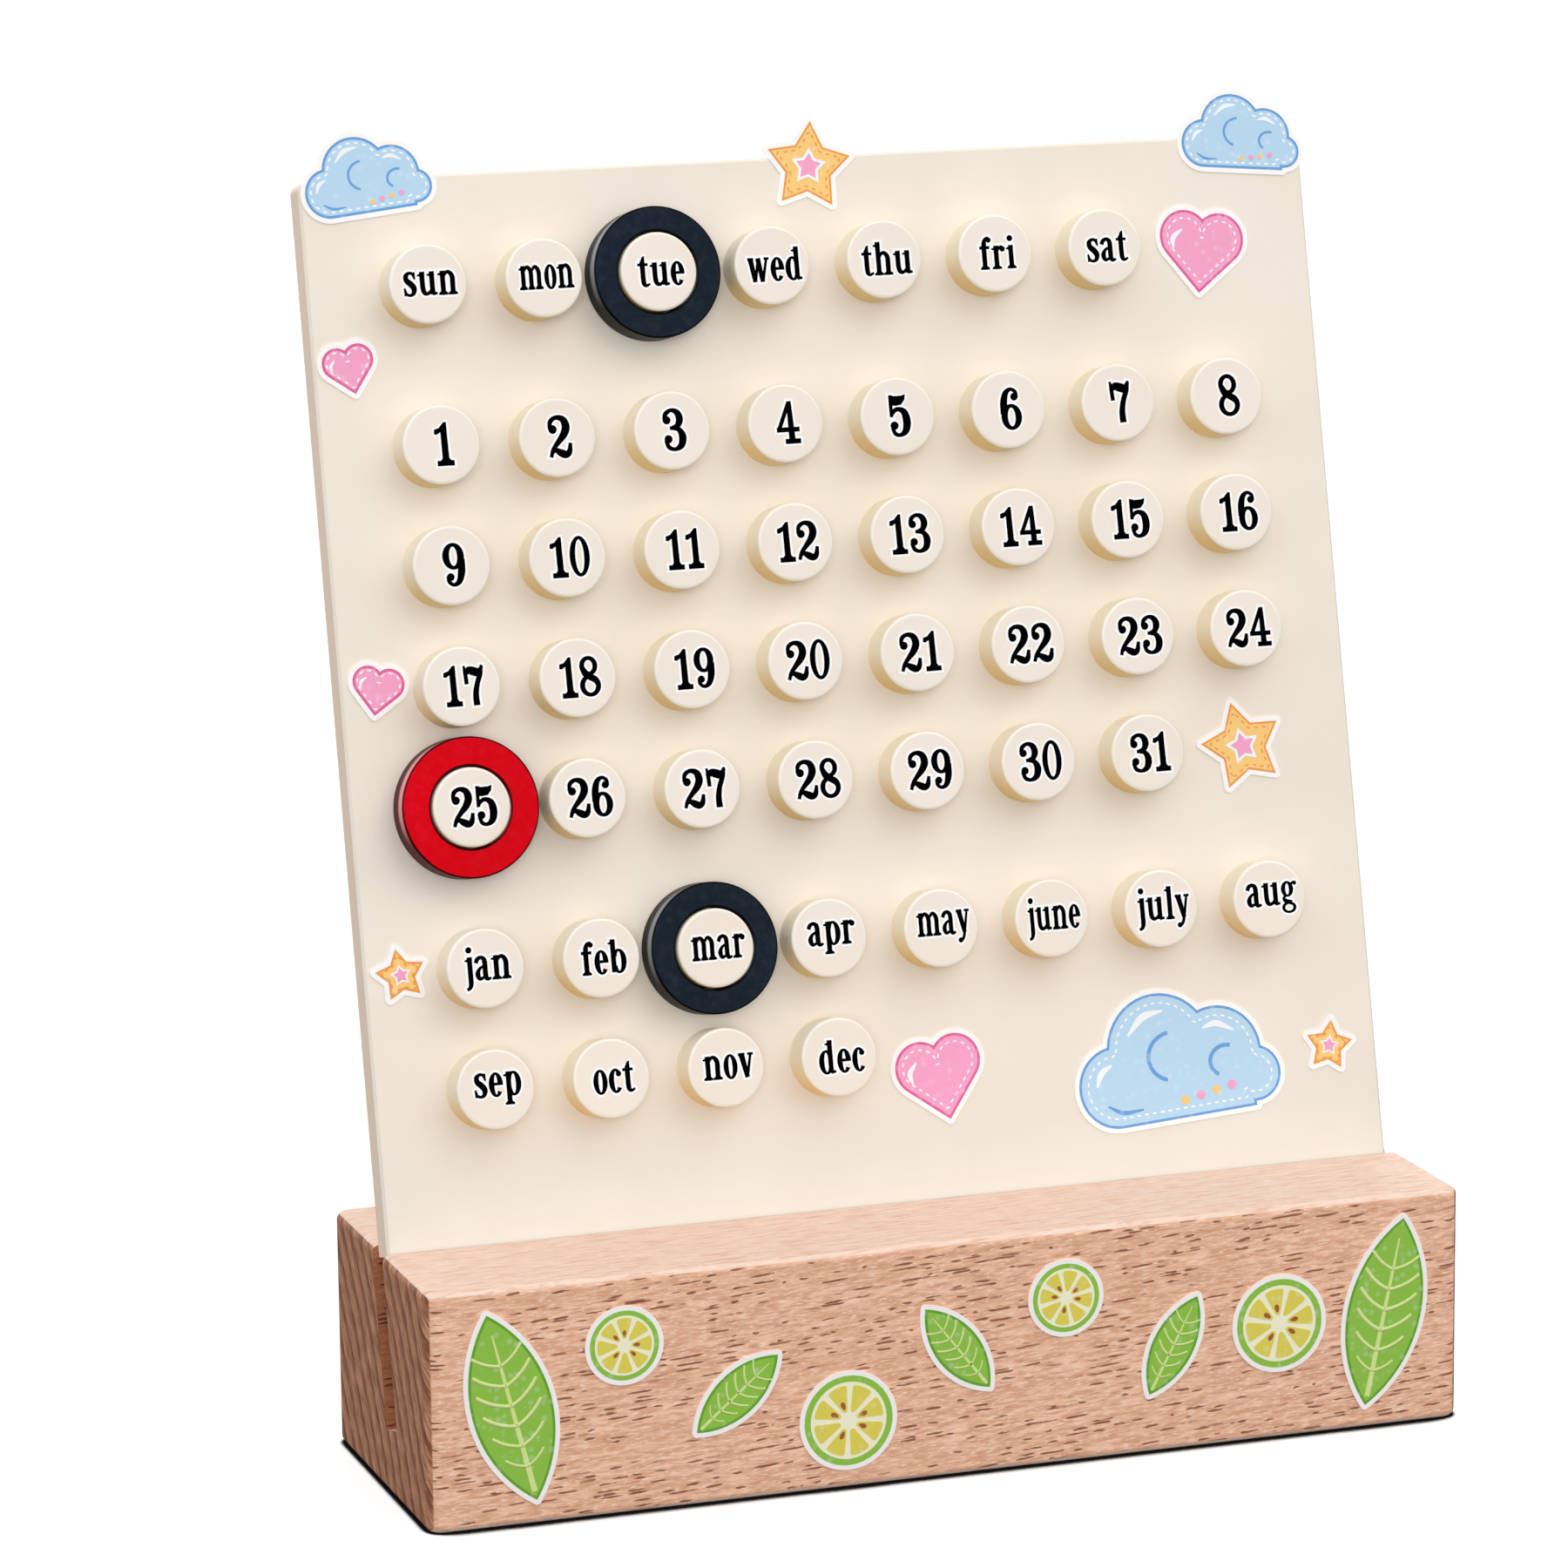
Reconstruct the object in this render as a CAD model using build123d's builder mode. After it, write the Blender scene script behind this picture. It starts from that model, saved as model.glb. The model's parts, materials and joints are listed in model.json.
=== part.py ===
from build123d import *
import os
from math import cos, radians, sin
from typing import NamedTuple

# A perpetual desk calendar. A board of printed buttons leans back in a slotted beech block,
# and three loose rings mark the weekday, the date and the month.
# Millimetres, +Z up. The front faces -Y, and +X is the reader's right.
# The origin is the centre of the block's underside.

# ---- Button grid, on the front of the board ----
WEEKDAYS = ["sun", "mon", "tue", "wed", "thu", "fri", "sat"]
DATES = [f"{day:02d}" for day in range(1, 32)]
MONTHS = ["jan", "feb", "mar", "apr", "may", "june", "july", "aug", "sep", "oct", "nov", "dec"]
COLUMNS = 8
COLUMN_PITCH = 22.0
ROW_PITCH = 22.0
GROUP_PITCH = 29.3  # last row of one group to the first row of the next
LEFT_MARGIN = 20.9  # board edge to the first column
RIGHT_MARGIN = 22.2  # last column to the board edge
TOP_MARGIN = 20.7  # weekday row to the board's top edge
BOTTOM_MARGIN = 28.2  # block's top to the lowest row, along the board

# ---- Board ----
BOARD_THICKNESS = 6.5
BOARD_CORNER_RADIUS = 2.0
BOARD_EDGE_CHAMFER = 0.5
LEAN = 13.2  # degrees back from upright
TONGUE_INSET = 12.0  # tongue's end, inside the board's edge
SHOULDER_DROP = 0.6  # how far the shoulders dip into the slot's mouth

# ---- Buttons ----
BUTTON_RADIUS = 7.3
BUTTON_HEIGHT = 7.25
BUTTON_EDGE_ROUND = 0.6
SPIGOT_RADIUS = 3.0
SPIGOT_CLEARANCE = 0.05  # radial, filled with glue
SPIGOT_CHAMFER = 0.5
SPIGOT_END_GAP = 0.3
BOARD_BACK_WALL = 1.7  # board left behind each spigot hole

# ---- Beech block and its slot ----
BLOCK_DEPTH = 62.2
BLOCK_HEIGHT = 44.5
BLOCK_LEFT_OVERHANG = 1.1  # block beyond the board's left edge
BLOCK_RIGHT_OVERHANG = 2.8  # block beyond the board's right edge
BLOCK_CORNER_RADIUS = 3.0
BLOCK_EDGE_ROUND = 1.5
BOARD_SETBACK = 28.4  # block's front to the board's front, on the block's top
SLOT_DEPTH = 32.0  # down the lean
SLOT_CLEARANCE = 0.25  # each side of the board

# ---- Marker rings ----
RING_CLEARANCE = 0.3  # radial, around a button
RING_HEIGHT = 6.5
RING_EDGE_ROUND = 0.4
BLACK_RING_RADIUS = 12.2
RED_RING_RADIUS = 12.95

# ---- Stickers: a motif and a plain border around it ----
STICKER_THICKNESS = 0.3
STICKER_BORDER = 0.9
STICKER_INSET = 2.0  # left free between a sticker and what it keeps clear of
CORNER_CLOUD = 24.0  # widths of the motifs
CELL_STICKER = 17.0
SHORT_LEAF = 20.0
SMALL_SLICE = 13.0
LARGE_SLICE = 17.0
BLOCK_STICKER_CELLS = 9
# Shares of a cloud's width: (across, up, radius) of its puffs and (across, up, width, height) of its floor
CLOUD_PUFFS = [(-0.31, -0.08, 0.19), (-0.08, 0.06, 0.26), (0.2, 0.0, 0.22), (0.37, -0.12, 0.13)]
CLOUD_FLOOR = (0.02, -0.17, 0.68, 0.2)
STAR_POINTS = 5
STAR_NOTCH = 0.55  # notch radius as a share of the tip radius
LEAF_BULGE = 0.72  # radius of a leaf's two arcs as a share of its length
LEAF_HALF_WIDTH = 0.21  # also a share of its length

# ---- Worked out from the sizes above ----
board_width = LEFT_MARGIN + (COLUMNS - 1) * COLUMN_PITCH + RIGHT_MARGIN
block_length = BLOCK_LEFT_OVERHANG + board_width + BLOCK_RIGHT_OVERHANG
board_centre = (BLOCK_LEFT_OVERHANG - BLOCK_RIGHT_OVERHANG) / 2
first_column = LEFT_MARGIN - board_width / 2
slot_width = BOARD_THICKNESS + 2 * SLOT_CLEARANCE
spigot_length = BOARD_THICKNESS - BOARD_BACK_WALL - SPIGOT_END_GAP
ring_bore = BUTTON_RADIUS + RING_CLEARANCE


def in_rows(names):
    """Split a group of names into rows of at most COLUMNS."""
    return [names[start:start + COLUMNS] for start in range(0, len(names), COLUMNS)]


def row_heights(groups):
    """Height of every row above the block, group by group, counted up from the lowest row."""
    height = BOTTOM_MARGIN
    heights = []
    for group in reversed(groups):
        rows = [height + index * ROW_PITCH for index in range(len(group))]
        heights.insert(0, rows[::-1])
        height = rows[-1] + GROUP_PITCH
    return heights


button_groups = [in_rows(WEEKDAYS), in_rows(DATES), in_rows(MONTHS)]
group_heights = row_heights(button_groups)
week_row = group_heights[0][0]
first_date_row = group_heights[1][0]
last_date_row = group_heights[1][-1]
first_month_row = group_heights[2][0]
board_top = week_row + TOP_MARGIN

button_places = {}
for group, heights in zip(button_groups, group_heights):
    for row, height in zip(group, heights):
        for column, name in enumerate(row):
            button_places[name] = (first_column + column * COLUMN_PITCH, height)

# Board plane: X across the board from its middle, Y up its front from the block's top, Z out of it
board_front = Plane(
    origin=(board_centre, BOARD_SETBACK - BLOCK_DEPTH / 2, BLOCK_HEIGHT),
    x_dir=(1, 0, 0),
    z_dir=(0, -cos(radians(LEAN)), sin(radians(LEAN))),
)
# Block plane: X across the block's front from its middle, Y up from the underside, Z out of it
block_front = Plane(origin=(0, -BLOCK_DEPTH / 2, 0), x_dir=(1, 0, 0), z_dir=(0, -1, 0))
board_axis = Axis(board_front.origin, board_front.z_dir)

os.makedirs("parts", exist_ok=True)


def save(builder, name):
    """Label a finished piece and write it to its own file."""
    builder.part.label = name
    export_step(builder.part, f"parts/{name}.step")


def plane_on(face, across, up, turn=0):
    """Plane on a face, moved across and up it and turned in it by some degrees."""
    origin = face.from_local_coords((across, up, 0))
    x_dir = face.x_dir.rotate(Axis((0, 0, 0), face.z_dir), turn)
    return Plane(origin=origin, x_dir=x_dir, z_dir=face.z_dir)


# ---- Beech block, slotted from end to end ----
with BuildPart() as base_block:
    with BuildSketch():
        RectangleRounded(block_length, BLOCK_DEPTH, BLOCK_CORNER_RADIUS)
    extrude(amount=BLOCK_HEIGHT)
    rims = base_block.faces().filter_by(Axis.Z)
    fillet(rims.edges(), BLOCK_EDGE_ROUND)
    with BuildSketch(board_front.offset(SLOT_CLEARANCE)):
        with Locations((-board_centre, -SLOT_DEPTH)):
            Rectangle(block_length, SLOT_DEPTH + slot_width, align=(Align.CENTER, Align.MIN))
    extrude(amount=-slot_width, mode=Mode.SUBTRACT)
save(base_block, "base_block")

# ---- Board: a plate with a narrower tongue that stands on the slot's floor ----
with BuildPart() as button_board:
    with BuildSketch(board_front):
        with Locations((0, -SHOULDER_DROP)):
            Rectangle(board_width, board_top + SHOULDER_DROP, align=(Align.CENTER, Align.MIN))
        fillet(vertices().group_by(Axis.Y)[-1], BOARD_CORNER_RADIUS)
        with Locations((0, -SLOT_DEPTH)):
            Rectangle(board_width - 2 * TONGUE_INSET, SLOT_DEPTH, align=(Align.CENTER, Align.MIN))
    extrude(amount=-BOARD_THICKNESS)
    chamfer(button_board.faces().filter_by(board_axis).edges(), BOARD_EDGE_CHAMFER)
    with BuildSketch(board_front):
        with Locations(*button_places.values()):
            Circle(SPIGOT_RADIUS + SPIGOT_CLEARANCE)
    extrude(amount=-(spigot_length + SPIGOT_END_GAP), mode=Mode.SUBTRACT)
save(button_board, "button_board")

# ---- Buttons: a printed cap and the spigot that holds it in the board ----
for name, place in button_places.items():
    seat = plane_on(board_front, *place)
    with BuildPart() as button:
        with BuildSketch(seat):
            Circle(BUTTON_RADIUS)
        extrude(amount=BUTTON_HEIGHT)
        fillet(button.faces().sort_by(board_axis)[-1].edges(), BUTTON_EDGE_ROUND)
        with BuildSketch(seat):
            Circle(SPIGOT_RADIUS)
        extrude(amount=-spigot_length)
        chamfer(button.faces().sort_by(board_axis)[0].edges(), SPIGOT_CHAMFER)
    save(button, f"button_{name}")

# ---- Marker rings: each hangs loose on a button ----
markers = {
    "week_ring": ("tue", BLACK_RING_RADIUS),
    "date_ring": ("25", RED_RING_RADIUS),
    "month_ring": ("mar", BLACK_RING_RADIUS),
}
for name, (marked_button, ring_radius) in markers.items():
    with BuildPart() as ring:
        with BuildSketch(plane_on(board_front, *button_places[marked_button])):
            Circle(ring_radius)
            Circle(ring_bore, mode=Mode.SUBTRACT)
        extrude(amount=RING_HEIGHT)
        fillet(ring.faces().filter_by(board_axis).edges(), RING_EDGE_ROUND)
    save(ring, name)


# ---- Sticker motifs, drawn about the middle of the sketch they are called in ----
def cloud(width):
    """Four puffs on a flat floor."""
    for across, up, radius in CLOUD_PUFFS:
        with Locations((across * width, up * width)):
            Circle(radius * width)
    across, up, floor_width, floor_height = CLOUD_FLOOR
    with Locations((across * width, up * width)):
        Rectangle(floor_width * width, floor_height * width)


def heart(width):
    """A square on its corner with a half circle on each upper side."""
    side = width / (1 + cos(radians(45)))
    lobe = side / 2 * cos(radians(45))
    Rectangle(side, side, rotation=45)
    with Locations((-lobe, lobe), (lobe, lobe)):
        Circle(side / 2)


def star(width):
    """A star with an upright tip."""
    points = []
    for index in range(2 * STAR_POINTS):
        reach = width / 2 * (STAR_NOTCH if index % 2 else 1)
        angle = radians(90 + 180 * index / STAR_POINTS)
        points.append((reach * cos(angle), reach * sin(angle)))
    Polygon(*points, align=None)


def leaf(length):
    """The lens where two equal circles cross, its tips up and down."""
    arc_centre = (LEAF_BULGE - LEAF_HALF_WIDTH) * length
    with Locations((-arc_centre, 0)):
        Circle(LEAF_BULGE * length)
    with Locations((arc_centre, 0)):
        Circle(LEAF_BULGE * length, mode=Mode.INTERSECT)


def citrus(width):
    """A round slice."""
    Circle(width / 2)


class Sticker(NamedTuple):
    """Where a sticker's middle lies on its face, how large its motif is and how it is turned."""

    across: float
    up: float
    size: float
    turn: float


# Places on the board: its corners and top edge, the strip left of the first column and the free cells
left_edge = -board_width / 2
right_edge = board_width / 2
left_strip = left_edge + (LEFT_MARGIN - BUTTON_RADIUS) / 2
last_column = first_column + (COLUMNS - 1) * COLUMN_PITCH
mid_gap = first_column + (COLUMNS - 1) / 2 * COLUMN_PITCH
after_last_month = first_column + len(button_groups[-1][-1]) * COLUMN_PITCH
over_dates = (week_row + first_date_row) / 2
strip_size = LEFT_MARGIN - BUTTON_RADIUS - 2 * STICKER_BORDER - STICKER_INSET
bottom_space = BOTTOM_MARGIN + ROW_PITCH - BUTTON_RADIUS
big_cloud = bottom_space - STICKER_INSET
clouds = [
    Sticker(across=left_edge + CORNER_CLOUD / 2 + STICKER_BORDER, up=board_top, size=CORNER_CLOUD, turn=6),
    Sticker(across=right_edge - CORNER_CLOUD / 2, up=board_top, size=CORNER_CLOUD, turn=-5),
    Sticker(across=right_edge - big_cloud, up=bottom_space / 2, size=big_cloud, turn=4),
]
hearts = [
    Sticker(across=last_column, up=week_row - STICKER_INSET, size=CELL_STICKER, turn=-8),
    Sticker(across=left_strip, up=over_dates, size=strip_size, turn=10),
    Sticker(across=left_strip, up=last_date_row + ROW_PITCH, size=strip_size, turn=-12),
    Sticker(across=after_last_month, up=bottom_space / 2, size=CELL_STICKER, turn=9),
]
stars = [
    Sticker(across=mid_gap, up=board_top - STICKER_INSET, size=CELL_STICKER, turn=-7),
    Sticker(across=left_strip, up=first_month_row, size=strip_size, turn=8),
    Sticker(across=last_column, up=last_date_row, size=CELL_STICKER, turn=12),
    Sticker(across=right_edge - strip_size, up=bottom_space / 2, size=strip_size, turn=-10),
]

# Places on the block: one cell after another along the flat of its front
block_middle = BLOCK_HEIGHT / 2
flat_length = block_length - 2 * (BLOCK_CORNER_RADIUS + STICKER_INSET)
flat_height = BLOCK_HEIGHT - 2 * (BLOCK_EDGE_ROUND + STICKER_INSET)
tall_leaf = flat_height - 2 * STICKER_BORDER
slice_rise = (flat_height - LARGE_SLICE) / 2 - STICKER_BORDER
cells = [flat_length * ((index + 0.5) / BLOCK_STICKER_CELLS - 0.5) for index in range(BLOCK_STICKER_CELLS)]
leaves = [
    Sticker(across=cells[0], up=block_middle, size=tall_leaf, turn=14),
    Sticker(across=cells[2], up=block_middle - STICKER_INSET, size=SHORT_LEAF, turn=-50),
    Sticker(across=cells[4], up=block_middle + STICKER_INSET, size=SHORT_LEAF, turn=38),
    Sticker(across=cells[6], up=block_middle - STICKER_INSET, size=SHORT_LEAF, turn=-28),
    Sticker(across=cells[8], up=block_middle, size=tall_leaf, turn=-12),
]
slices = [
    Sticker(across=cells[1], up=block_middle + slice_rise, size=SMALL_SLICE, turn=0),
    Sticker(across=cells[3], up=block_middle - slice_rise, size=LARGE_SLICE, turn=20),
    Sticker(across=cells[5], up=block_middle + slice_rise, size=SMALL_SLICE, turn=35),
    Sticker(across=cells[7], up=block_middle, size=LARGE_SLICE, turn=10),
]

STICKER_SHEETS = {
    "cloud_stickers": (cloud, board_front, clouds),
    "heart_stickers": (heart, board_front, hearts),
    "star_stickers": (star, board_front, stars),
    "leaf_stickers": (leaf, block_front, leaves),
    "citrus_stickers": (citrus, block_front, slices),
}
for name, (motif, face, copies) in STICKER_SHEETS.items():
    with BuildPart() as sheet:
        for sticker in copies:
            with BuildSketch(plane_on(face, sticker.across, sticker.up, sticker.turn)):
                motif(sticker.size)
                offset(amount=STICKER_BORDER)
            extrude(amount=STICKER_THICKNESS)
    save(sheet, name)
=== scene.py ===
"""Finishes, printing, stickers and stage of a perpetual desk calendar.

A board of 50 buttons leans back in a slotted beech block, and three loose rings mark the weekday,
the date and the month. The frame's nodes keep their shape here and get their finishes. The printing
on the buttons and on the stickers is built as thin plates on top of them.
Lengths are in metres, +Z is up, and the front faces -Y.
"""

import json
import math
from itertools import pairwise
from typing import NamedTuple

import bmesh
import bpy
from mathutils import Matrix, Vector
from mathutils.geometry import convex_hull_2d, delaunay_2d_cdt


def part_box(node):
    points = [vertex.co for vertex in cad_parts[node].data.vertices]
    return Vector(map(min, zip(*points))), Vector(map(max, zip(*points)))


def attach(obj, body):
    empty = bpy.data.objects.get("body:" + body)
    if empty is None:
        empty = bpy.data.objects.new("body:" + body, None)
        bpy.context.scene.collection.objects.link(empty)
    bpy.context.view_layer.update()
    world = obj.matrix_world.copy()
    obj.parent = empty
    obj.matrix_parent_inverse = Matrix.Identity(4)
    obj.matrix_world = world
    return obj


bl_info = {
    "name": "Perpetual desk calendar",
    "version": (1, 0, 0),
    "blender": (4, 5, 0),
    "location": "3D View > Sidebar > Calendar",
    "description": "Finishes, printing, stickers and stage of a button-board desk calendar",
    "category": "Object",
}

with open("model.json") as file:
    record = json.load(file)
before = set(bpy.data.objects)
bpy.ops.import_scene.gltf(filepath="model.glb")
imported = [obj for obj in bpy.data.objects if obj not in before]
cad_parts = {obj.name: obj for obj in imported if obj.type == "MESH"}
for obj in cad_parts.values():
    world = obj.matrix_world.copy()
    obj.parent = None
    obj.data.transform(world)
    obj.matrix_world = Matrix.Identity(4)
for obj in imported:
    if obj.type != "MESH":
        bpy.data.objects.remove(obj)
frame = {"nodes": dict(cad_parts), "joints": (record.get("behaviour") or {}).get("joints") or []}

MM = 0.001
FLATNESS = 0.01 * MM  # points this near to a face's height lie on it

WEEKDAYS = ["sun", "mon", "tue", "wed", "thu", "fri", "sat"]
DATES = [f"{day:02d}" for day in range(1, 32)]
MONTHS = ["jan", "feb", "mar", "apr", "may", "june", "july", "aug", "sep", "oct", "nov", "dec"]
BUTTONS = WEEKDAYS + DATES + MONTHS

# ---- Directions and faces, taken from the frame ----
slide_axes = {joint["name"]: Vector(joint["axis"]) for joint in frame["joints"]}
ACROSS = Vector((1, 0, 0))
UP_BOARD = slide_axes["board_lift"]
OUT_OF_BOARD = slide_axes["date_ring_pull"]


def reach(node, direction):
    """How far a node's mesh goes in one direction."""
    return max(vertex.co.dot(direction) for vertex in frame["nodes"][node].data.vertices)


def face_matrix(origin, across, up):
    """Place of a flat face: X across it, Y up it and Z out of it."""
    turn = Matrix((across, up, across.cross(up))).transposed().to_4x4()
    return Matrix.Translation(origin) @ turn


def board_face():
    """The board's front face, with its origin above the middle of the block's top."""
    low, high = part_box("button_board")
    front = reach("button_board", OUT_OF_BOARD)
    block_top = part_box("base_block")[1].z
    rise = (block_top - front * OUT_OF_BOARD.z) / UP_BOARD.z
    middle = ACROSS * (low.x + high.x) / 2
    return face_matrix(middle + UP_BOARD * rise + OUT_OF_BOARD * front, ACROSS, UP_BOARD)


def block_face():
    """The block's front face, with its origin at the middle of its lower edge."""
    low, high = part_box("base_block")
    return face_matrix(Vector(((low.x + high.x) / 2, low.y, low.z)), ACROSS, Vector((0, 0, 1)))


def button_face(name):
    """The top face of a button, with its origin in the middle."""
    vertices = frame["nodes"][f"button_{name}"].data.vertices
    top = reach(f"button_{name}", OUT_OF_BOARD)
    rim = [vertex.co for vertex in vertices if vertex.co.dot(OUT_OF_BOARD) > top - FLATNESS]
    spans = [[point.dot(axis) for point in rim] for axis in (ACROSS, UP_BOARD)]
    across, rise = [(min(span) + max(span)) / 2 for span in spans]
    return face_matrix(ACROSS * across + UP_BOARD * rise + OUT_OF_BOARD * top, ACROSS, UP_BOARD)


def linear(red, green, blue):
    """A colour given in display steps of 0 to 255, as linear light."""
    shares = [value / 255 for value in (red, green, blue)]
    return tuple(s / 12.92 if s <= 0.04045 else ((s + 0.055) / 1.055) ** 2.4 for s in shares)


# ---- Sizes and colours a user would change ----
def length_of(name, description, default):
    return bpy.props.FloatProperty(
        name=name, description=description, default=default, unit="LENGTH", precision=5
    )


def colour_of(name, description, *display):
    return bpy.props.FloatVectorProperty(
        name=name, description=description, default=linear(*display), subtype="COLOR", min=0, max=1
    )


def angle_of(name, description, degrees):
    return bpy.props.FloatProperty(
        name=name, description=description, default=math.radians(degrees), subtype="ANGLE"
    )


def strength_of(name, description, default):
    return bpy.props.FloatProperty(name=name, description=description, default=default, min=0)


class CalendarPrinting(bpy.types.PropertyGroup):
    """Sizes and colours of the printing on the buttons."""

    figure_height: length_of("Figure height", "Height of a single figure", 7.8 * MM)
    pair_height: length_of("Pair height", "Height of two figures side by side", 7.3 * MM)
    pair_width: length_of("Pair width", "Width that two figures share", 7.9 * MM)
    x_height: length_of("Letter height", "Height of a lower-case x", 4.45 * MM)
    word_width: length_of("Word width", "A longer word is squeezed to this width", 10.4 * MM)
    shift_across: length_of("Shift across", "How far the printing sits right of the middle", 0.4 * MM)
    shift_up: length_of("Shift up", "How far the printing sits above the middle", 0.1 * MM)
    figure_spread: length_of("Figure spread", "Ink of a figure beyond its drawn edge", 0.1 * MM)
    word_spread: length_of("Word spread", "Ink of a word beyond its drawn edge", 0.04 * MM)
    halo_width: length_of("Halo width", "White underprint beyond the ink's edge", 0.4 * MM)
    ink: colour_of("Ink", "Colour of the figures and letters", 3, 3, 5)
    halo: colour_of("Halo", "Colour of the underprint", 255, 255, 255)


class CalendarPlastics(bpy.types.PropertyGroup):
    """Colours of the moulded parts."""

    board: colour_of("Board", "Colour of the board", 242, 232, 219)
    button_top: colour_of("Button top", "Colour of a button's printed face", 244, 233, 220)
    # Painted shade: a darker board just above the block, offsetting the light thrown up from the block's
    # top
    painted_foot_shade: colour_of("Board foot", "Duller colour of the board just above the block", 233, 227, 216)
    # Painted light: the board's edges are lighter and warmer than its face, lifting them out of their shade
    painted_edge_light: colour_of("Board edge", "Warmer colour of the board's edges", 254, 234, 214)
    # Painted highlight on the rounded rim of each button
    painted_rim_highlight: colour_of("Button rim", "Lighter colour of a button's rounded rim", 251, 244, 232)
    # Painted light and shade: a button's wall is yellower than its top, and golden underneath, for its glow
    # and the warm bounce in its shade
    painted_wall_glow: colour_of("Button side", "Colour of a button's wall", 247, 238, 216)
    painted_underside_shade: colour_of("Button underside", "Golden colour of the lower side of the wall", 244, 210, 138)
    black_ring: colour_of("Black ring", "Colour of the weekday and month rings", 24, 34, 47)
    red_ring: colour_of("Red ring", "Colour of the date ring", 220, 0, 16)


class CalendarBeech(bpy.types.PropertyGroup):
    """Colours and figure of the beech block."""

    light: colour_of("Light wood", "Colour of the pale early wood", 255, 207, 177)
    dark: colour_of("Dark wood", "Colour of the darker late wood", 225, 169, 136)
    # Painted light: the top's paler colour stands in for the glare of light across it
    top: colour_of("Top with painted glare", "Colour that the top and the finest fibres fade to", 243, 223, 210)
    fleck: colour_of("Fleck", "Colour of the short dark flecks", 124, 62, 32)
    fleck_length: length_of("Fleck length", "Spacing of the flecks along the grain", 4.7 * MM)
    fleck_height: length_of("Fleck height", "Spacing of the flecks across the grain", 1.08 * MM)
    ring_spacing: length_of("Ring spacing", "Spacing of the growth rings", 5.0 * MM)


class CalendarStickers(bpy.types.PropertyGroup):
    """Colours of the stickers."""

    vinyl: colour_of("Vinyl", "Colour of the die-cut border", 255, 251, 249)
    sky: colour_of("Sky", "Fill of the clouds", 186, 217, 240)
    sky_line: colour_of("Sky line", "Lines of the clouds", 112, 164, 220)
    pink: colour_of("Pink", "Fill of the hearts", 246, 166, 202)
    pink_line: colour_of("Pink line", "Lines of the hearts", 226, 106, 160)
    amber: colour_of("Amber", "Fill of the stars", 251, 205, 128)
    amber_line: colour_of("Amber line", "Lines of the stars", 238, 160, 84)
    leaf: colour_of("Leaf", "Fill of the leaves", 146, 196, 78)
    leaf_line: colour_of("Leaf line", "Edge of the leaves", 104, 168, 56)
    leaf_vein: colour_of("Leaf vein", "Veins of the leaves", 214, 232, 150)
    pith: colour_of("Pith", "Pale ring inside a slice's rind", 246, 244, 214)
    flesh: colour_of("Flesh", "Segments of a slice", 226, 212, 92)
    pip: colour_of("Pip", "Pips of a slice", 168, 98, 60)


class CalendarStage(bpy.types.PropertyGroup):
    """Camera and lights."""

    distance: length_of("Camera distance", "From the camera to what it aims at", 1.1992)
    azimuth: angle_of("Azimuth", "Camera's turn round the calendar", -18.805)
    elevation: angle_of("Elevation", "Camera's height above level", 11.799)
    roll: angle_of("Roll", "Camera's turn about its own axis", -0.623)
    lens: bpy.props.FloatProperty(
        name="Lens", description="Focal length on a 36 mm sensor", default=151.1, unit="CAMERA"
    )
    key: strength_of("Key light", "Strength of the wide sun at the upper right", 0.46)
    fill: strength_of("Fill light", "Strength of the sun beside the camera", 0.7)
    rear: strength_of("Rear light", "Strength of the wide sun behind the board", 0.9)
    key_spread: angle_of("Key spread", "How wide the sun is, which softens its shadows", 44)
    dome: strength_of("Dome", "Strength of the light from all round", 0.92)


GROUPS = {
    "calendar_printing": CalendarPrinting,
    "calendar_plastics": CalendarPlastics,
    "calendar_beech": CalendarBeech,
    "calendar_stickers": CalendarStickers,
    "calendar_stage": CalendarStage,
}


# ---- Marks: what figures, letters and sticker motifs are drawn with ----
# Each mark is a function of how far it is grown beyond its edge. It gives outlines that may overlap.
CURVE_STEPS = 4  # pieces of a pen stroke between two of its knots
ROUND_STEPS = 28  # pieces of a full bowl
BALL_SIDES = 14
STICKER_SIDES = 40  # sides of a disc, and of half a leaf


def smooth(knots):
    """Points of a smooth line through the knots, whose third number is the line's width."""
    if len(knots) == 2:
        return knots
    ends = [2 * knots[0] - knots[1], *knots, 2 * knots[-1] - knots[-2]]
    line = [knots[0]]
    for a, b, c, d in zip(ends, ends[1:], ends[2:], ends[3:]):
        for step in range(1, CURVE_STEPS + 1):
            t = step / CURVE_STEPS
            line.append((
                2 * b + (c - a) * t + (2 * a - 5 * b + 4 * c - d) * t**2
                + (3 * b - a - 3 * c + d) * t**3
            ) / 2)
    return line


def hull(*points):
    """The outline round a few points."""
    return [points[index] for index in convex_hull_2d(points)]


def stroke(*knots):
    """A pen stroke through knots of (across, up, width)."""

    def cells(grow):
        line = smooth([Vector(knot) for knot in knots])
        sides = []
        for index, point in enumerate(line):
            before, after = line[max(index - 1, 0)], line[min(index + 1, len(line) - 1)]
            along = (after - before).xy.normalized()
            middle = point.xy
            if index in (0, len(line) - 1):
                middle = middle + along * (grow if index else -grow)
            half = (point.z / 2 + grow) * Vector((-along.y, along.x))
            sides.append((middle + half, middle - half))
        return [hull(*start, *end) for start, end in pairwise(sides)]

    return cells


def ball(x, y, radius, sides=BALL_SIDES):
    """A round dot."""

    def cells(grow):
        angles = [math.tau * step / sides for step in range(sides)]
        size = radius + grow
        return [[Vector((x + size * math.cos(a), y + size * math.sin(a))) for a in angles]]

    return cells


def disc(x, y, radius):
    """A round patch with as many sides as a sticker needs."""
    return ball(x, y, radius, STICKER_SIDES)


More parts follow.
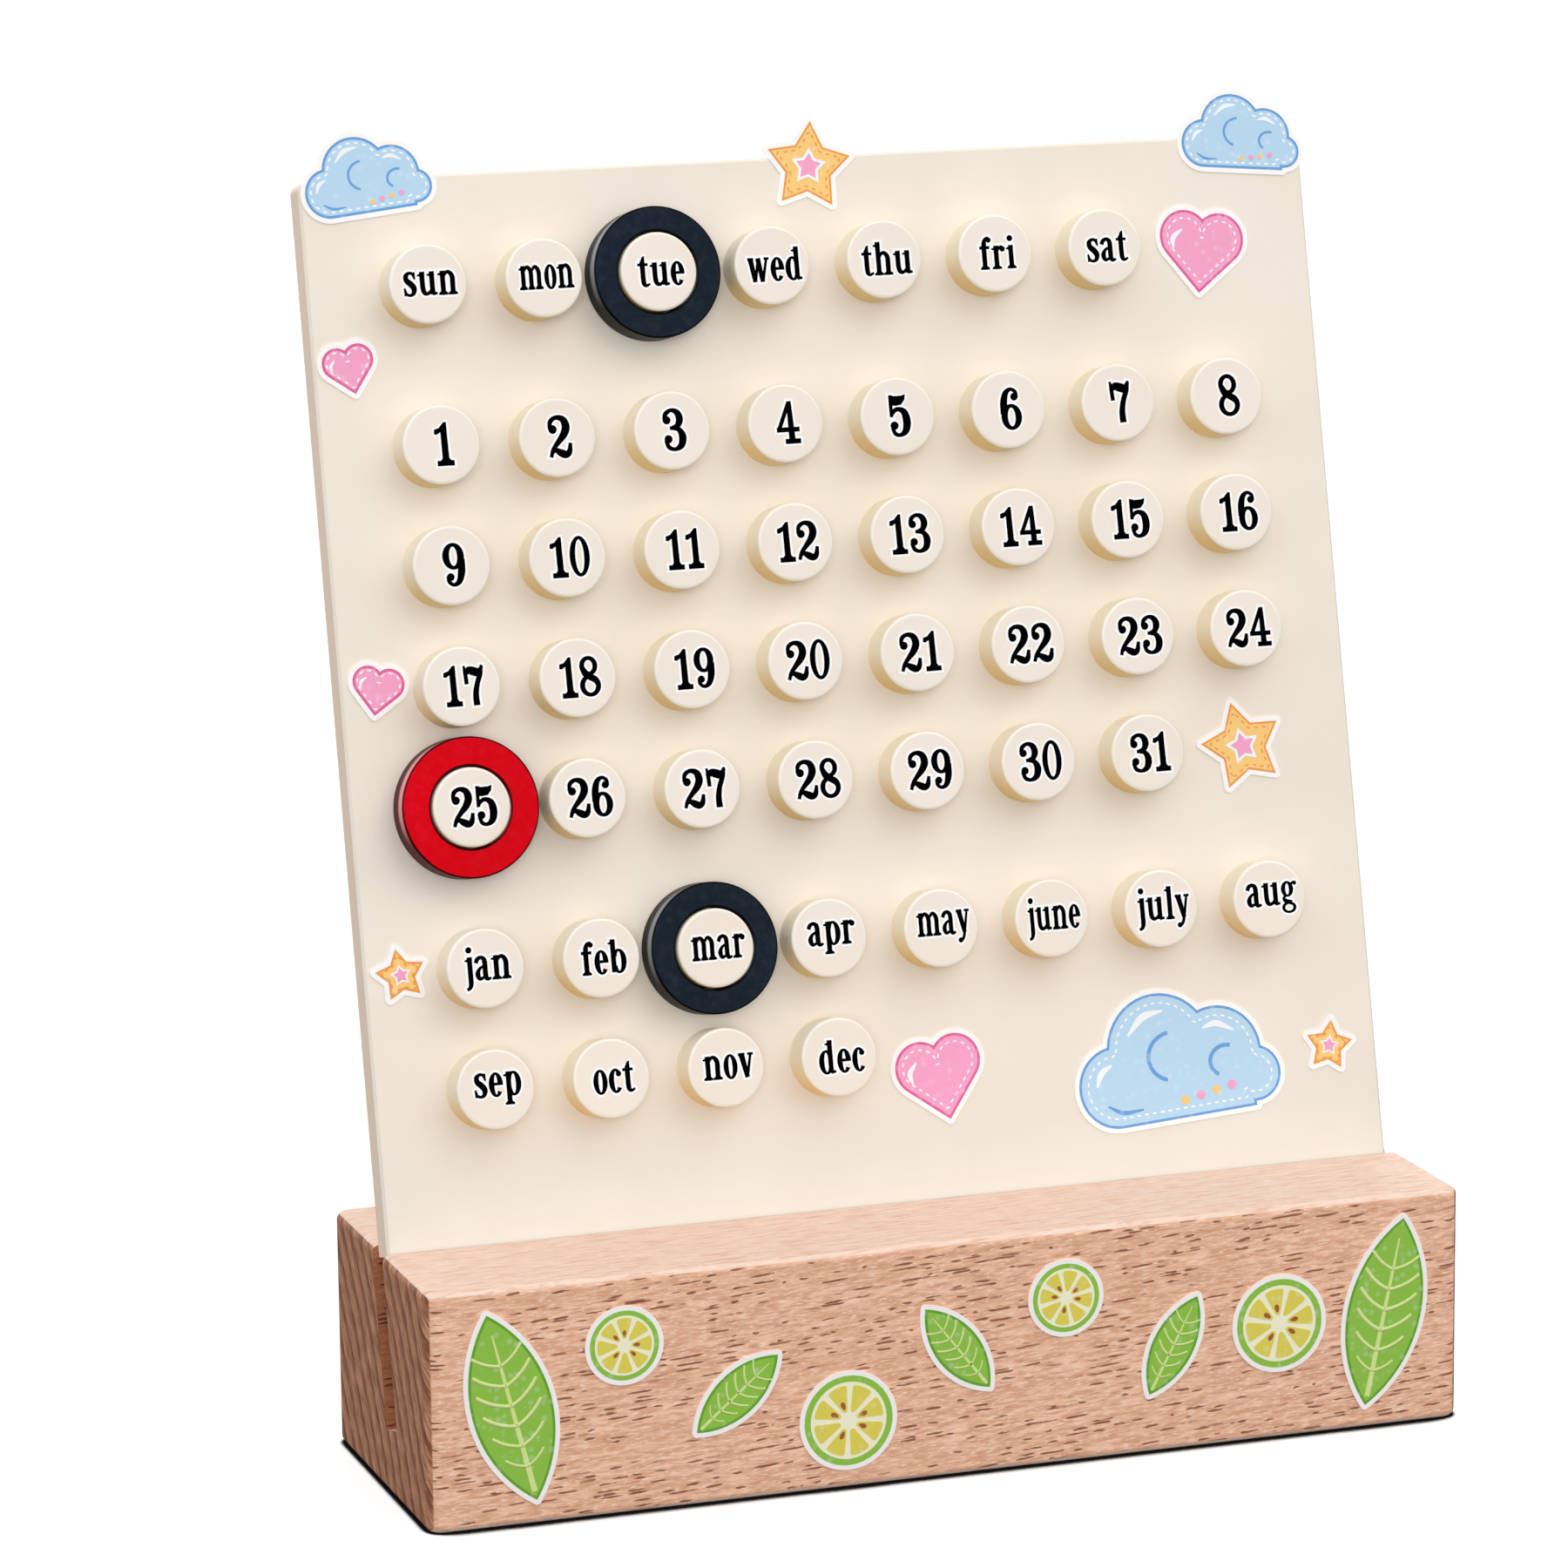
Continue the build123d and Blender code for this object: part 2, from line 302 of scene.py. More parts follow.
def bowl(x, y, half_width, half_height, side, crown, start=0, stop=360):
    """A bent band between two ellipses: thick at its sides and thin at its crown and foot."""

    def cells(grow):
        steps = max(4, round(ROUND_STEPS * (stop - start) / 360))
        ribs = []
        for step in range(steps + 1):
            angle = math.radians(start + (stop - start) * step / steps)
            ray = Vector((math.cos(angle), math.sin(angle)))
            outer = Vector(((half_width + grow) * ray.x, (half_height + grow) * ray.y))
            inner = Vector(((half_width - side - grow) * ray.x, (half_height - crown - grow) * ray.y))
            centre = Vector((x, y))
            ribs.append((centre + outer, centre + inner))
        return [hull(*start, *end) for start, end in pairwise(ribs)]

    return cells


def slab(left, right, low, high):
    """A level bar, such as a serif or a crossbar."""

    def cells(grow):
        return [[
            Vector((left - grow, low - grow)), Vector((right + grow, low - grow)),
            Vector((right + grow, high + grow)), Vector((left - grow, high + grow)),
        ]]

    return cells


def patch(*corners):
    """A shape given by its corners, grown away from its middle."""

    def cells(grow):
        points = [Vector(corner) for corner in corners]
        middle = sum(points, Vector((0, 0))) / len(points)
        return [[point + (point - middle).normalized() * grow for point in points]]

    return cells


def turned_over(marks, width, height):
    """The same marks turned half way round in their own box."""
    corner = Vector((width, height))
    return [
        lambda grow, mark=mark: [[corner - point for point in cell] for cell in mark(grow)]
        for mark in marks
    ]


# ---- Lettering: a bold condensed face with slab feet and ball ends, in tenths of a millimetre ----
FIGURE_UNITS = 78  # height of a figure
LETTER_UNITS = 44  # height of a lower-case x
ASCENDER = 61
DESCENDER = -16
STEM = 8.6  # width of an upright
LETTER_GAP = 3
FIGURE_GAP = 6.5


def stem(x, low=0, high=LETTER_UNITS - 1, width=STEM):
    """An upright."""
    return stroke((x, low, width), (x, high, width))


def foot(x, spread=17, low=0):
    """A slab foot under an upright, with its bracket."""
    half = spread / 2
    return patch(
        (x - half, low), (x + half, low), (x + half, low + 3),
        (x + 5, low + 6), (x - 5, low + 6), (x - half, low + 3),
    )


def head(x, top=LETTER_UNITS):
    """A wedge serif at the upper left of an upright."""
    return patch((x - 9, top - 6), (x + 4.5, top), (x + 4.5, top - 9), (x - 4, top - 9), (x - 9, top - 8))


def arch(left, right):
    """The shoulder from one upright to the next, and that next upright."""
    return stroke(
        (left + 2, 33, 4), (left + 7, 40, 5.5), (right - 5, 40, 7),
        (right, 32, STEM), (right, 16, STEM), (right, 0, STEM),
    )


SIX = [
    ball(28, 61, 6.3),
    stroke((33, 60, 4), (31, 70, 5.5), (22, 75.5, 5), (12, 69, 9), (6.8, 52, 12), (6, 30, 12)),
    bowl(20.5, 23.5, 19.5, 23.5, 11, 5),
]

# Each entry: (width, marks)
GLYPHS = {
    "0": (39, [bowl(19.5, 39, 19.5, 39, 9.5, 5)]),
    "1": (34, [
        stroke((19.5, 3, 11), (18.5, 70, 10)),
        patch((1, 58), (2, 66), (11, 68), (19, 78), (24, 78), (24, 60), (14, 63), (6, 57)),
        slab(4, 34, 0, 8),
        patch((9, 7), (30, 7), (25, 13), (14, 13)),
    ]),
    "2": (43, [
        ball(9, 53, 7.2),
        stroke((3.5, 55, 5), (6, 68, 7), (17, 74.5, 6.5), (30, 70, 11), (34.5, 56, 13.5), (29, 42, 12),
               (17, 28, 8), (7.5, 16, 6), (3, 3, 5)),
        stroke((4, 10, 5), (12, 14.5, 7), (22, 9.5, 12), (31, 6, 12), (38, 11, 9), (41, 26, 4.5)),
    ]),
    "3": (42, [
        ball(8, 57, 6.8),
        ball(9, 22, 6.8),
        stroke((3.5, 59, 5), (7, 69, 7), (18, 75, 5.5), (29, 70, 10), (33, 58, 12), (28, 46, 9),
               (17, 42, 5)),
        slab(14, 24, 39.5, 44.5),
        stroke((18, 42, 5), (30, 39, 8), (36.5, 26, 12.5), (33, 10, 11), (21, 3, 5.5),
               (9, 7, 6.5), (4.5, 19, 6)),
    ]),
    "4": (45, [
        stroke((26, 76, 6), (4, 26, 6)),
        slab(0.5, 43, 22, 29),
        stroke((28.5, 4, 10.5), (26.5, 77, 7)),
        slab(16, 44, 0, 7.5),
    ]),
    "5": (40, [
        stroke((4, 77, 5), (4, 38, 5)),
        patch((2, 78), (13, 75), (25, 75.5), (33, 78), (31, 68), (24, 60), (13, 58.5), (3, 60)),
        stroke((3, 39, 4), (11, 49, 6), (20, 51, 7), (30, 44, 11.5), (33.5, 26, 13.5), (29.5, 10, 11),
               (19, 3, 5.5), (9, 6, 6), (4.5, 17, 5)),
        ball(8.5, 21, 7),
    ]),
    "6": (40, SIX),
    "7": (39, [
        stroke((2, 76, 2.5), (4, 62, 6), (5.5, 42, 6)),
        stroke((3, 61, 6), (11, 67.5, 13), (22, 65, 15), (31, 63, 13), (38, 74, 4)),
        stroke((37.5, 76, 3), (34, 60, 8), (26.5, 40, 8.5), (22.5, 20, 10), (23, 0, 11)),
    ]),
    "8": (41, [
        bowl(19, 59.5, 17.5, 18.5, 8, 6),
        bowl(20.5, 21, 20.5, 21, 8.5, 6),
        stroke((6, 57, 8), (12, 45, 12), (22, 38, 12), (33, 29, 9), (37, 20, 8)),
    ]),
    "9": (40, turned_over(SIX, 40, FIGURE_UNITS)),
    "a": (29, [
        stroke((2.5, 32, 7), (5.5, 38.5, 7), (12, 41.5, 6), (17.5, 38, 8), (19, 30, STEM), (19, 9, STEM),
               (22, 2.5, 7), (29, 3.5, 3)),
        stroke((18, 26, 4), (9, 21.5, 5), (4.6, 12, STEM), (8, 3.2, 6.5), (17, 6, 3.5)),
    ]),
    "b": (31, [stem(7, 2, ASCENDER), head(7, ASCENDER), bowl(17, 21.5, 14, 22, 9.5, 4, -155, 155)]),
    "c": (24, [bowl(13, 21.5, 13, 22, 9.5, 4, 42, 322), ball(19, 34, 4.8)]),
    "d": (32, [
        bowl(14, 21.5, 14, 22, 9.5, 4, 25, 335), stem(22, 3, ASCENDER), head(22, ASCENDER),
        stroke((22, 3.5, 7), (31, 3.5, 3.5)),
    ]),
    "e": (26, [bowl(13, 21.5, 13, 22, 9.5, 4, 0, 322), slab(5, 25.8, 20.5, 25)]),
    "f": (21, [
        stroke((8.5, 0, STEM), (8.5, 25, STEM), (9, 48, 8.5), (13, 57, 5.5), (19, 58.5, 4)),
        ball(18.5, 54.5, 4.6), slab(0, 19, 38, 43), foot(8.5),
    ]),
    "g": (31, [
        bowl(12.5, 29, 12, 14.5, 8, 3.5), stroke((20, 38, 3.5), (27, 41.5, 5)), ball(28, 39.5, 3.6),
        stroke((8, 17, 4), (4.5, 11, 5.5), (10, 6, 8), (20, 3.5, 8)),
        bowl(14, -5.5, 14, 10.5, 5.5, 4),
    ]),
    "h": (35, [stem(8, 0, ASCENDER), head(8, ASCENDER), arch(8, 26), foot(8), foot(26)]),
    "i": (18, [stem(9), head(9), foot(9), ball(8.5, 56, 5.4)]),
    "j": (15, [
        stroke((9, 43, STEM), (9, 15, STEM), (9, -3, STEM), (6.5, -11.5, 6.5), (1, -15, 4.5)), head(9),
        ball(8.5, 56, 5.4),
    ]),
    "l": (18, [stem(9, 0, ASCENDER), head(9, ASCENDER), foot(9)]),
    "m": (51, [stem(8), head(8), arch(8, 25), arch(25, 42), foot(8), foot(25, 14), foot(42)]),
    "n": (35, [stem(8), head(8), arch(8, 26), foot(8), foot(26)]),
    "o": (26, [bowl(13, 21.5, 13, 22.5, 9, 4)]),
    "p": (31, [
        stem(8, DESCENDER + 1), head(8), bowl(17, 21.5, 14, 22, 9.5, 4, -155, 155), foot(8, 17, DESCENDER),
    ]),
    "r": (25, [
        stem(8), head(8), foot(8, 18), stroke((9, 32, 4), (14, 39, 5), (20, 40.5, 6)), ball(20.5, 37, 5),
    ]),
    "s": (25, [
        stroke((21.5, 32, 3.5), (19, 39.5, 5), (12.5, 42, 5), (6, 37, 8), (7, 28.5, 9.5), (14, 22, 10.5),
               (19.5, 14, 10), (18, 5, 7), (11.5, 1.8, 4.5), (4.5, 5, 5), (2.5, 13, 3.5)),
        patch((20, 43), (23, 43), (23, 30), (20.5, 30)), patch((1, 1), (4, 1), (3.6, 15), (1, 15)),
    ]),
    "t": (21, [
        stroke((9, 46, STEM), (9, 14, STEM), (10.5, 4.5, 8), (15, 2, 5), (21, 5, 3)),
        patch((0, 40), (4, 43), (9, 54), (13.5, 56), (13.5, 40)), slab(0, 19, 38, 42.5),
    ]),
    "u": (35, [
        head(8), stroke((8, 43, STEM), (8, 16, STEM), (10.5, 5.5, 8), (17, 3.5, 5.5), (24, 10, 4)),
        stem(26, 2), head(26), stroke((26, 3.5, 7), (34.5, 3.5, 3.5)),
    ]),
    "v": (28, [
        slab(0, 12, 39.5, LETTER_UNITS), slab(18, 28, 40, LETTER_UNITS), stroke((6, 42, 10), (15, 0, 8)),
        stroke((15, 1, 5), (23.5, 42, 4)),
    ]),
    "w": (41, [
        slab(0, 11, 39.5, LETTER_UNITS), slab(32, 41, 40, LETTER_UNITS),
        stroke((5.5, 42, 9.5), (12.5, 0, 8)), stroke((13, 1, 5), (20, 40, 4)),
        stroke((20, 43, 9), (27, 0, 8)), stroke((27.5, 1, 5), (36.5, 42, 4)),
    ]),
    "y": (28, [
        slab(0, 12, 39.5, LETTER_UNITS), slab(18, 28, 40, LETTER_UNITS), stroke((6, 42, 10), (16, 2, 8)),
        stroke((23.5, 42, 4), (17, 8, 5), (12.5, -8, 5.5), (6, -13.5, 5)), ball(6, -12, 4.6),
    ]),
}


def moved(mark, offset):
    """A mark set further along the line."""
    return lambda grow: [[point + offset for point in cell] for cell in mark(grow)]


def text_marks(text, gap):
    """Marks of a word or number, letter after letter."""
    placed = []
    offset = 0
    for letter in text:
        width, marks = GLYPHS[letter]
        placed += [moved(mark, Vector((offset, 0))) for mark in marks]
        offset += width + gap
    return placed


def all_cells(marks, grow):
    """Outlines of all the marks, grown beyond their edges."""
    return [cell for mark in marks for cell in mark(grow)]


def extent(cells):
    """Lowest left and highest right corner of all the outlines."""
    points = [point for cell in cells for point in cell]
    spans = [[point[axis] for point in points] for axis in (0, 1)]
    return Vector([min(span) for span in spans]), Vector([max(span) for span in spans])


# ---- Thin plates of print ----
INK_STEP = 0.02 * MM  # each layer of print stands this much above the one below
PRINT_BITE = 0.05 * MM  # how deep a plate's hidden side lies in what carries it
MERGE_ANGLE = math.radians(0.5)
SMALLEST_CELL = 1e-5  # square millimetres
MERGE_REACH = 1e-4  # millimetres between points that become one


def plate(cells, low, high):
    """A closed plate with the joined outline of all the cells: its points and faces."""
    corners, outlines = [], []
    for cell in cells:
        area = sum(a.x * b.y - b.x * a.y for a, b in zip(cell, cell[1:] + cell[:1]))
        if abs(area) < SMALLEST_CELL:
            continue
        ring = cell if area > 0 else cell[::-1]
        outlines.append(list(range(len(corners), len(corners) + len(ring))))
        corners += ring
    points, _, faces, _, _, owners = delaunay_2d_cdt(corners, [], outlines, 1, MERGE_REACH)
    sheet = bmesh.new()
    vertices = [sheet.verts.new((point.x, point.y, 0)) for point in points]
    for face, owner in zip(faces, owners):
        if owner:
            sheet.faces.new([vertices[index] for index in face])
    loose = [vertex for vertex in sheet.verts if not vertex.link_faces]
    bmesh.ops.delete(sheet, geom=loose, context="VERTS")
    bmesh.ops.dissolve_limit(sheet, angle_limit=MERGE_ANGLE, verts=sheet.verts, edges=sheet.edges)
    bmesh.ops.recalc_face_normals(sheet, faces=sheet.faces)
    sheet.verts.index_update()
    flat = [vertex.co.xy for vertex in sheet.verts]
    rings = [[vertex.index for vertex in face.verts] for face in sheet.faces]
    upright = sum(face.normal.z for face in sheet.faces) > 0
    sheet.free()
    tops = rings if upright else [ring[::-1] for ring in rings]
    walls = {edge for ring in tops for edge in zip(ring, ring[1:] + ring[:1])}
    count = len(flat)
    solid = [Vector((p.x, p.y, high)) for p in flat] + [Vector((p.x, p.y, low)) for p in flat]
    sides = [(b, a, a + count, b + count) for a, b in sorted(walls) if (b, a) not in walls]
    floors = [[index + count for index in reversed(ring)] for ring in tops]
    return solid, tops + floors + sides


class PrintSheet:
    """Gathers plates of print into one piece."""

    def __init__(self):
        self.points, self.faces, self.colours = [], [], []

    def add(self, solid, place, colour):
        points, faces = solid
        start = len(self.points)
        self.points += [place @ point for point in points]
        self.faces += [[start + index for index in face] for face in faces]
        self.colours += [tuple(colour)] * len(points)

    def make(self, name, material, body):
        mesh = bpy.data.meshes.new(name)
        mesh.from_pydata(self.points, [], self.faces)
        colour_points(mesh, self.colours)
        mesh.materials.append(material)
        return put_in_place(name, mesh, body)


def colour_points(mesh, colours):
    """Store the print's colour on each point of a mesh."""
    tint = mesh.attributes.new("print_colour", "FLOAT_COLOR", "POINT")
    tint.data.foreach_set("color", [value for colour in colours for value in (*colour, 1)])


def new_object(name, data):
    """An object at the origin, linked to the scene."""
    thing = bpy.data.objects.new(name, data)
    bpy.context.scene.collection.objects.link(thing)
    return thing


def put_in_place(name, mesh, body):
    """An object for a finished mesh, riding on its body."""
    mesh.update()
    piece = new_object(name, mesh)
    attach(piece, body)
    return piece


# ---- Nodes, for shaders and geometry alike ----
def plug(tree, node, inputs):
    """Feed a node's sockets, each with another node's output, a value, or red, green and blue."""
    for key, value in inputs.items():
        socket = node.inputs[key]
        if isinstance(value, bpy.types.NodeSocket):
            tree.links.new(value, socket)
        elif socket.type == "RGBA":
            socket.default_value = (*value, 1)
        else:
            socket.default_value = value


def add(tree, kind, inputs=None, **settings):
    """A new node with its settings and inputs."""
    node = tree.nodes.new(kind)
    for name, value in settings.items():
        setattr(node, name, value)
    plug(tree, node, inputs or {})
    return node


def maths(tree, operation, first, second=0.0, third=0.0):
    """Output of a sum on plain numbers."""
    return add(tree, "ShaderNodeMath", {0: first, 1: second, 2: third}, operation=operation).outputs[0]


def remap(tree, value, low, high, to_low=0.0, to_high=1.0, kind="SMOOTHSTEP"):
    """Output of a value moved from one range to another."""
    inputs = {0: value, 1: low, 2: high, 3: to_low, 4: to_high}
    return add(tree, "ShaderNodeMapRange", inputs, interpolation_type=kind).outputs[0]


def blend(tree, share, first, second, how="MIX"):
    """Output of two colours mixed."""
    inputs = {0: share, 6: first, 7: second}
    return add(tree, "ShaderNodeMix", inputs, data_type="RGBA", blend_type=how).outputs[2]


def parts(tree, vector):
    """The X, Y and Z of a vector."""
    return add(tree, "ShaderNodeSeparateXYZ", {0: vector}).outputs


def joined(tree, x=0.0, y=0.0, z=0.0):
    """A vector from its X, Y and Z."""
    return add(tree, "ShaderNodeCombineXYZ", {0: x, 1: y, 2: z}).outputs[0]


def noise(tree, vector, scale, detail=2.0, roughness=0.5, dimensions="3D"):
    """Outputs of an uneven pattern of soft marks. The scale is how many lie in a unit of the vector."""
    inputs = {"Vector": vector, "Scale": scale, "Detail": detail, "Roughness": roughness}
    return add(tree, "ShaderNodeTexNoise", inputs, noise_dimensions=dimensions).outputs


def start_material(name):
    """A new material with its shader and the object's own coordinates."""
    material = bpy.data.materials.new(name)
    material.use_nodes = True
    tree = material.node_tree
    return material, tree, tree.nodes["Principled BSDF"], add(tree, "ShaderNodeTexCoord")


def start_tree(name, kind, inputs, outputs):
    """A new node tree with named inputs and outputs, each given with the kind of its socket."""
    tree = bpy.data.node_groups.new(name, kind)
    for side, sockets in (("INPUT", inputs), ("OUTPUT", outputs)):
        for title, socket in sockets.items():
            tree.interface.new_socket(title, in_out=side, socket_type=f"NodeSocket{socket}")
    return tree, tree.nodes.new("NodeGroupInput").outputs, tree.nodes.new("NodeGroupOutput").inputs


# ---- Effects that several materials share ----
def moulded_skin():
    """Faint clouding, fine grain and a few specks of dust on moulded plastic."""
    if "moulded_skin" in bpy.data.node_groups:
        return bpy.data.node_groups["moulded_skin"]
    tree, given, made = start_tree(
        "moulded_skin", "ShaderNodeTree",
        {"Vector": "Vector", "Colour": "Color", "Clouding": "Float", "Speck": "Color",
         "Smoothness": "Float"},
        {"Colour": "Color", "Roughness": "Float", "Height": "Float"},
    )
    clouds = noise(tree, given["Vector"], 42.0, 3.0)["Fac"]
    grain = noise(tree, given["Vector"], 2600.0)["Fac"]
    dust = add(tree, "ShaderNodeTexVoronoi", {"Vector": given["Vector"], "Scale": 95.0})
    chosen = add(tree, "ShaderNodeSeparateColor", {0: dust.outputs["Color"]}).outputs[0]
    rare = maths(tree, "GREATER_THAN", chosen, 0.86)
    speck = maths(tree, "MULTIPLY", rare, remap(tree, dust.outputs["Distance"], 0.018, 0.008))
    shade = remap(tree, clouds, 0.3, 0.7)
    amount = maths(tree, "MULTIPLY", shade, given["Clouding"])
    darker = blend(tree, 1.0, given["Colour"], (0.86, 0.84, 0.8), "MULTIPLY")
    clouded = blend(tree, amount, given["Colour"], darker)
    dusty = blend(tree, maths(tree, "MULTIPLY", speck, 0.7), clouded, given["Speck"])
    tree.links.new(dusty, made["Colour"])
    unevenness = remap(tree, clouds, 0.25, 0.75, -0.04, 0.06)
    tree.links.new(maths(tree, "ADD", given["Smoothness"], unevenness), made["Roughness"])
    tree.links.new(maths(tree, "ADD", grain, speck), made["Height"])
    return tree


def dot(tree, vector, direction):
    """How far a vector goes in a direction."""
    inputs = {0: vector, 1: direction}
    return add(tree, "ShaderNodeVectorMath", inputs, operation="DOT_PRODUCT").outputs["Value"]


def facing_share(tree, coords, direction, low, high):
    """1 where a face looks in a direction, 0 where it looks elsewhere."""
    return remap(tree, dot(tree, coords.outputs["Normal"], direction), low, high)


def add_relief(tree, shader, height, distance, strength=1.0):
    """Fine relief on a shader."""
    bump = add(tree, "ShaderNodeBump", {"Height": height, "Distance": distance, "Strength": strength})
    plug(tree, shader, {"Normal": bump.outputs["Normal"]})


def put_on_skin(tree, shader, coords, colour, speck, clouding, smoothness, gloss, depth):
    """Moulded skin on a shader, with its own colours, gloss and depth of grain."""
    skin = add(
        tree, "ShaderNodeGroup",
        {"Vector": coords.outputs["Object"], "Colour": colour, "Clouding": clouding,
         "Speck": speck, "Smoothness": smoothness},
        node_tree=moulded_skin(),
    ).outputs
    plug(tree, shader, {
        "Base Color": skin["Colour"], "Roughness": skin["Roughness"], "Specular IOR Level": gloss,
    })
    add_relief(tree, shader, skin["Height"], depth)


# ---- Materials ----
DUST = linear(120, 96, 70)
GREY_DUST = linear(150, 150, 155)
PEARL = (0.93, 0.95, 0.98)
FOOT_FADE = (10 * MM, 26 * MM)  # heights above the block between which the board's painted foot shade fades out


def board_plastic(plastics):
    """Cream board, with painted shade just above the block and painted light that makes its edges lighter
    and warmer.
    """
    material, tree, shader, coords = start_material("cream_board")
    front = facing_share(tree, coords, OUT_OF_BOARD, 0.3, 0.8)
    # Painted shade: the board is darker just above the block, offsetting the light thrown up from the
    # block's top
    foot = board_face().translation.dot(UP_BOARD)
    low, high = FOOT_FADE
    unshaded = remap(tree, dot(tree, coords.outputs["Object"], UP_BOARD), foot + low, foot + high)
    face = blend(tree, unshaded, plastics.painted_foot_shade, plastics.board)
    # Painted light: faces that don't look out of the board take the lighter, warmer edge colour
    colour = blend(tree, front, plastics.painted_edge_light, face)
    put_on_skin(
        tree, shader, coords, colour, DUST, clouding=0.25, smoothness=0.5, gloss=0.3, depth=0.01 * MM
    )
    return material


def button_plastic(plastics):
    """Cream button with a painted highlight on its rim, and painted light and shade on its wall: yellower,
    and golden underneath.
    """
    material, tree, shader, coords = start_material("cream_button")
    # Painted shade: the lower side of the wall is golden, for the warm bounce light in its shade
    under = facing_share(tree, coords, -UP_BOARD, -0.2, 0.85)
    side = blend(tree, under, plastics.painted_wall_glow, plastics.painted_underside_shade)
    # Painted highlight: the rounded rim between wall and top is lighter
    round_edge = facing_share(tree, coords, OUT_OF_BOARD, 0.2, 0.6)
    rim = blend(tree, round_edge, side, plastics.painted_rim_highlight)
    top = facing_share(tree, coords, OUT_OF_BOARD, 0.93, 0.99)
    colour = blend(tree, top, rim, plastics.button_top)
    put_on_skin(
        tree, shader, coords, colour, DUST, clouding=0.2, smoothness=0.42, gloss=0.35, depth=0.008 * MM
    )
    return material


PAINTED_SHEEN_SIDE = 0.37 * UP_BOARD - 0.93 * ACROSS  # where the ring's wall catches the light, as a painted highlight
PAINTED_SHEEN_BAND = (3.2 * MM, 4.8 * MM, 6.0 * MM, 6.5 * MM)  # above the board where the painted highlight starts, is full, is still full and ends


def ring_plastic(name, face, edge, painted_sheen, speck):
    """Satin face, with painted shade on its rounded edges and dark wall, and a narrow painted highlight on
    the wall.
    """
    material, tree, shader, coords = start_material(name)
    # Painted shade: outside the flat face, the rounded edges and the wall take the dark edge colour
    top = facing_share(tree, coords, OUT_OF_BOARD, 0.965, 0.995)
    height = dot(tree, coords.outputs["Object"], OUT_OF_BOARD)
    above = maths(tree, "SUBTRACT", height, reach("button_board", OUT_OF_BOARD))
    # Painted highlight: a band up the wall, on the side toward the upper left
    start, full, ebb, stop = PAINTED_SHEEN_BAND
    band = maths(tree, "MULTIPLY", remap(tree, above, start, full), remap(tree, above, stop, ebb))
    lit = maths(tree, "MULTIPLY", band, facing_share(tree, coords, PAINTED_SHEEN_SIDE, 0.6, 1.0))
    wall = blend(tree, lit, edge, painted_sheen)
    marks = noise(tree, coords.outputs["Object"], 520.0, 5.0, 0.75)["Fac"]
    rubbed = blend(tree, remap(tree, marks, 0.42, 0.68, 0.0, 0.06), face, speck)
    colour = blend(tree, top, wall, rubbed)
    put_on_skin(
        tree, shader, coords, colour, speck, clouding=0.6, smoothness=0.34, gloss=0.04, depth=0.006 * MM
    )
    return material


# ---- Beech ----
PITH_AXIS = Vector((0, 240, -140)) * MM  # the tree's heart, behind and below the block
GRAIN_SLOPE = 0.06  # rise of the grain along the block
PALE_FIBRE = linear(255, 226, 206)
# Painted shade and warm bounce on the slot's walls
PAINTED_SLOT_SHADE = linear(182, 148, 124)
END_GRAIN_SHADE = linear(198, 183, 173)
EARLY_WOOD, LATE_WOOD = linear(255, 245, 235), linear(182, 156, 142)
DARK_PORE, PALE_PORE = linear(92, 62, 48), linear(226, 206, 194)
FLECK_BEND = (1.6, 0.2, 0)  # how far a fleck strays along and across the grain, in cells
SLOT_FROM_FACE = (3 * MM, 4 * MM)  # depth below the block's faces where its inside begins


class Grain:
    """Spots of the block laid out along and across its grain, with the streaks that follow it."""

    def __init__(self, tree, spot, upward):
        # Across the grain: height on the front and back, depth on the top
        lateral = maths(tree, "MULTIPLY_ADD", upward, maths(tree, "SUBTRACT", spot[1], spot[2]), spot[2])
        self.tree, self.along = tree, spot[0]
        self.across = maths(tree, "MULTIPLY_ADD", spot[0], -GRAIN_SLOPE, lateral)

    def cells(self, length, height, shift=0.0):
        """Coordinates that stretch a pattern's cells to a length and height."""
        along = maths(self.tree, "MULTIPLY_ADD", self.along, 1 / length, shift)
        return joined(self.tree, along, maths(self.tree, "MULTIPLY_ADD", self.across, 1 / height, shift))

    def streaks(self, length, height, detail, shift=0.0):
        """Soft streaks of about this length and height. The shift makes each set its own."""
        return noise(self.tree, self.cells(length, height, shift), 1.0, detail, 0.6, "2D")


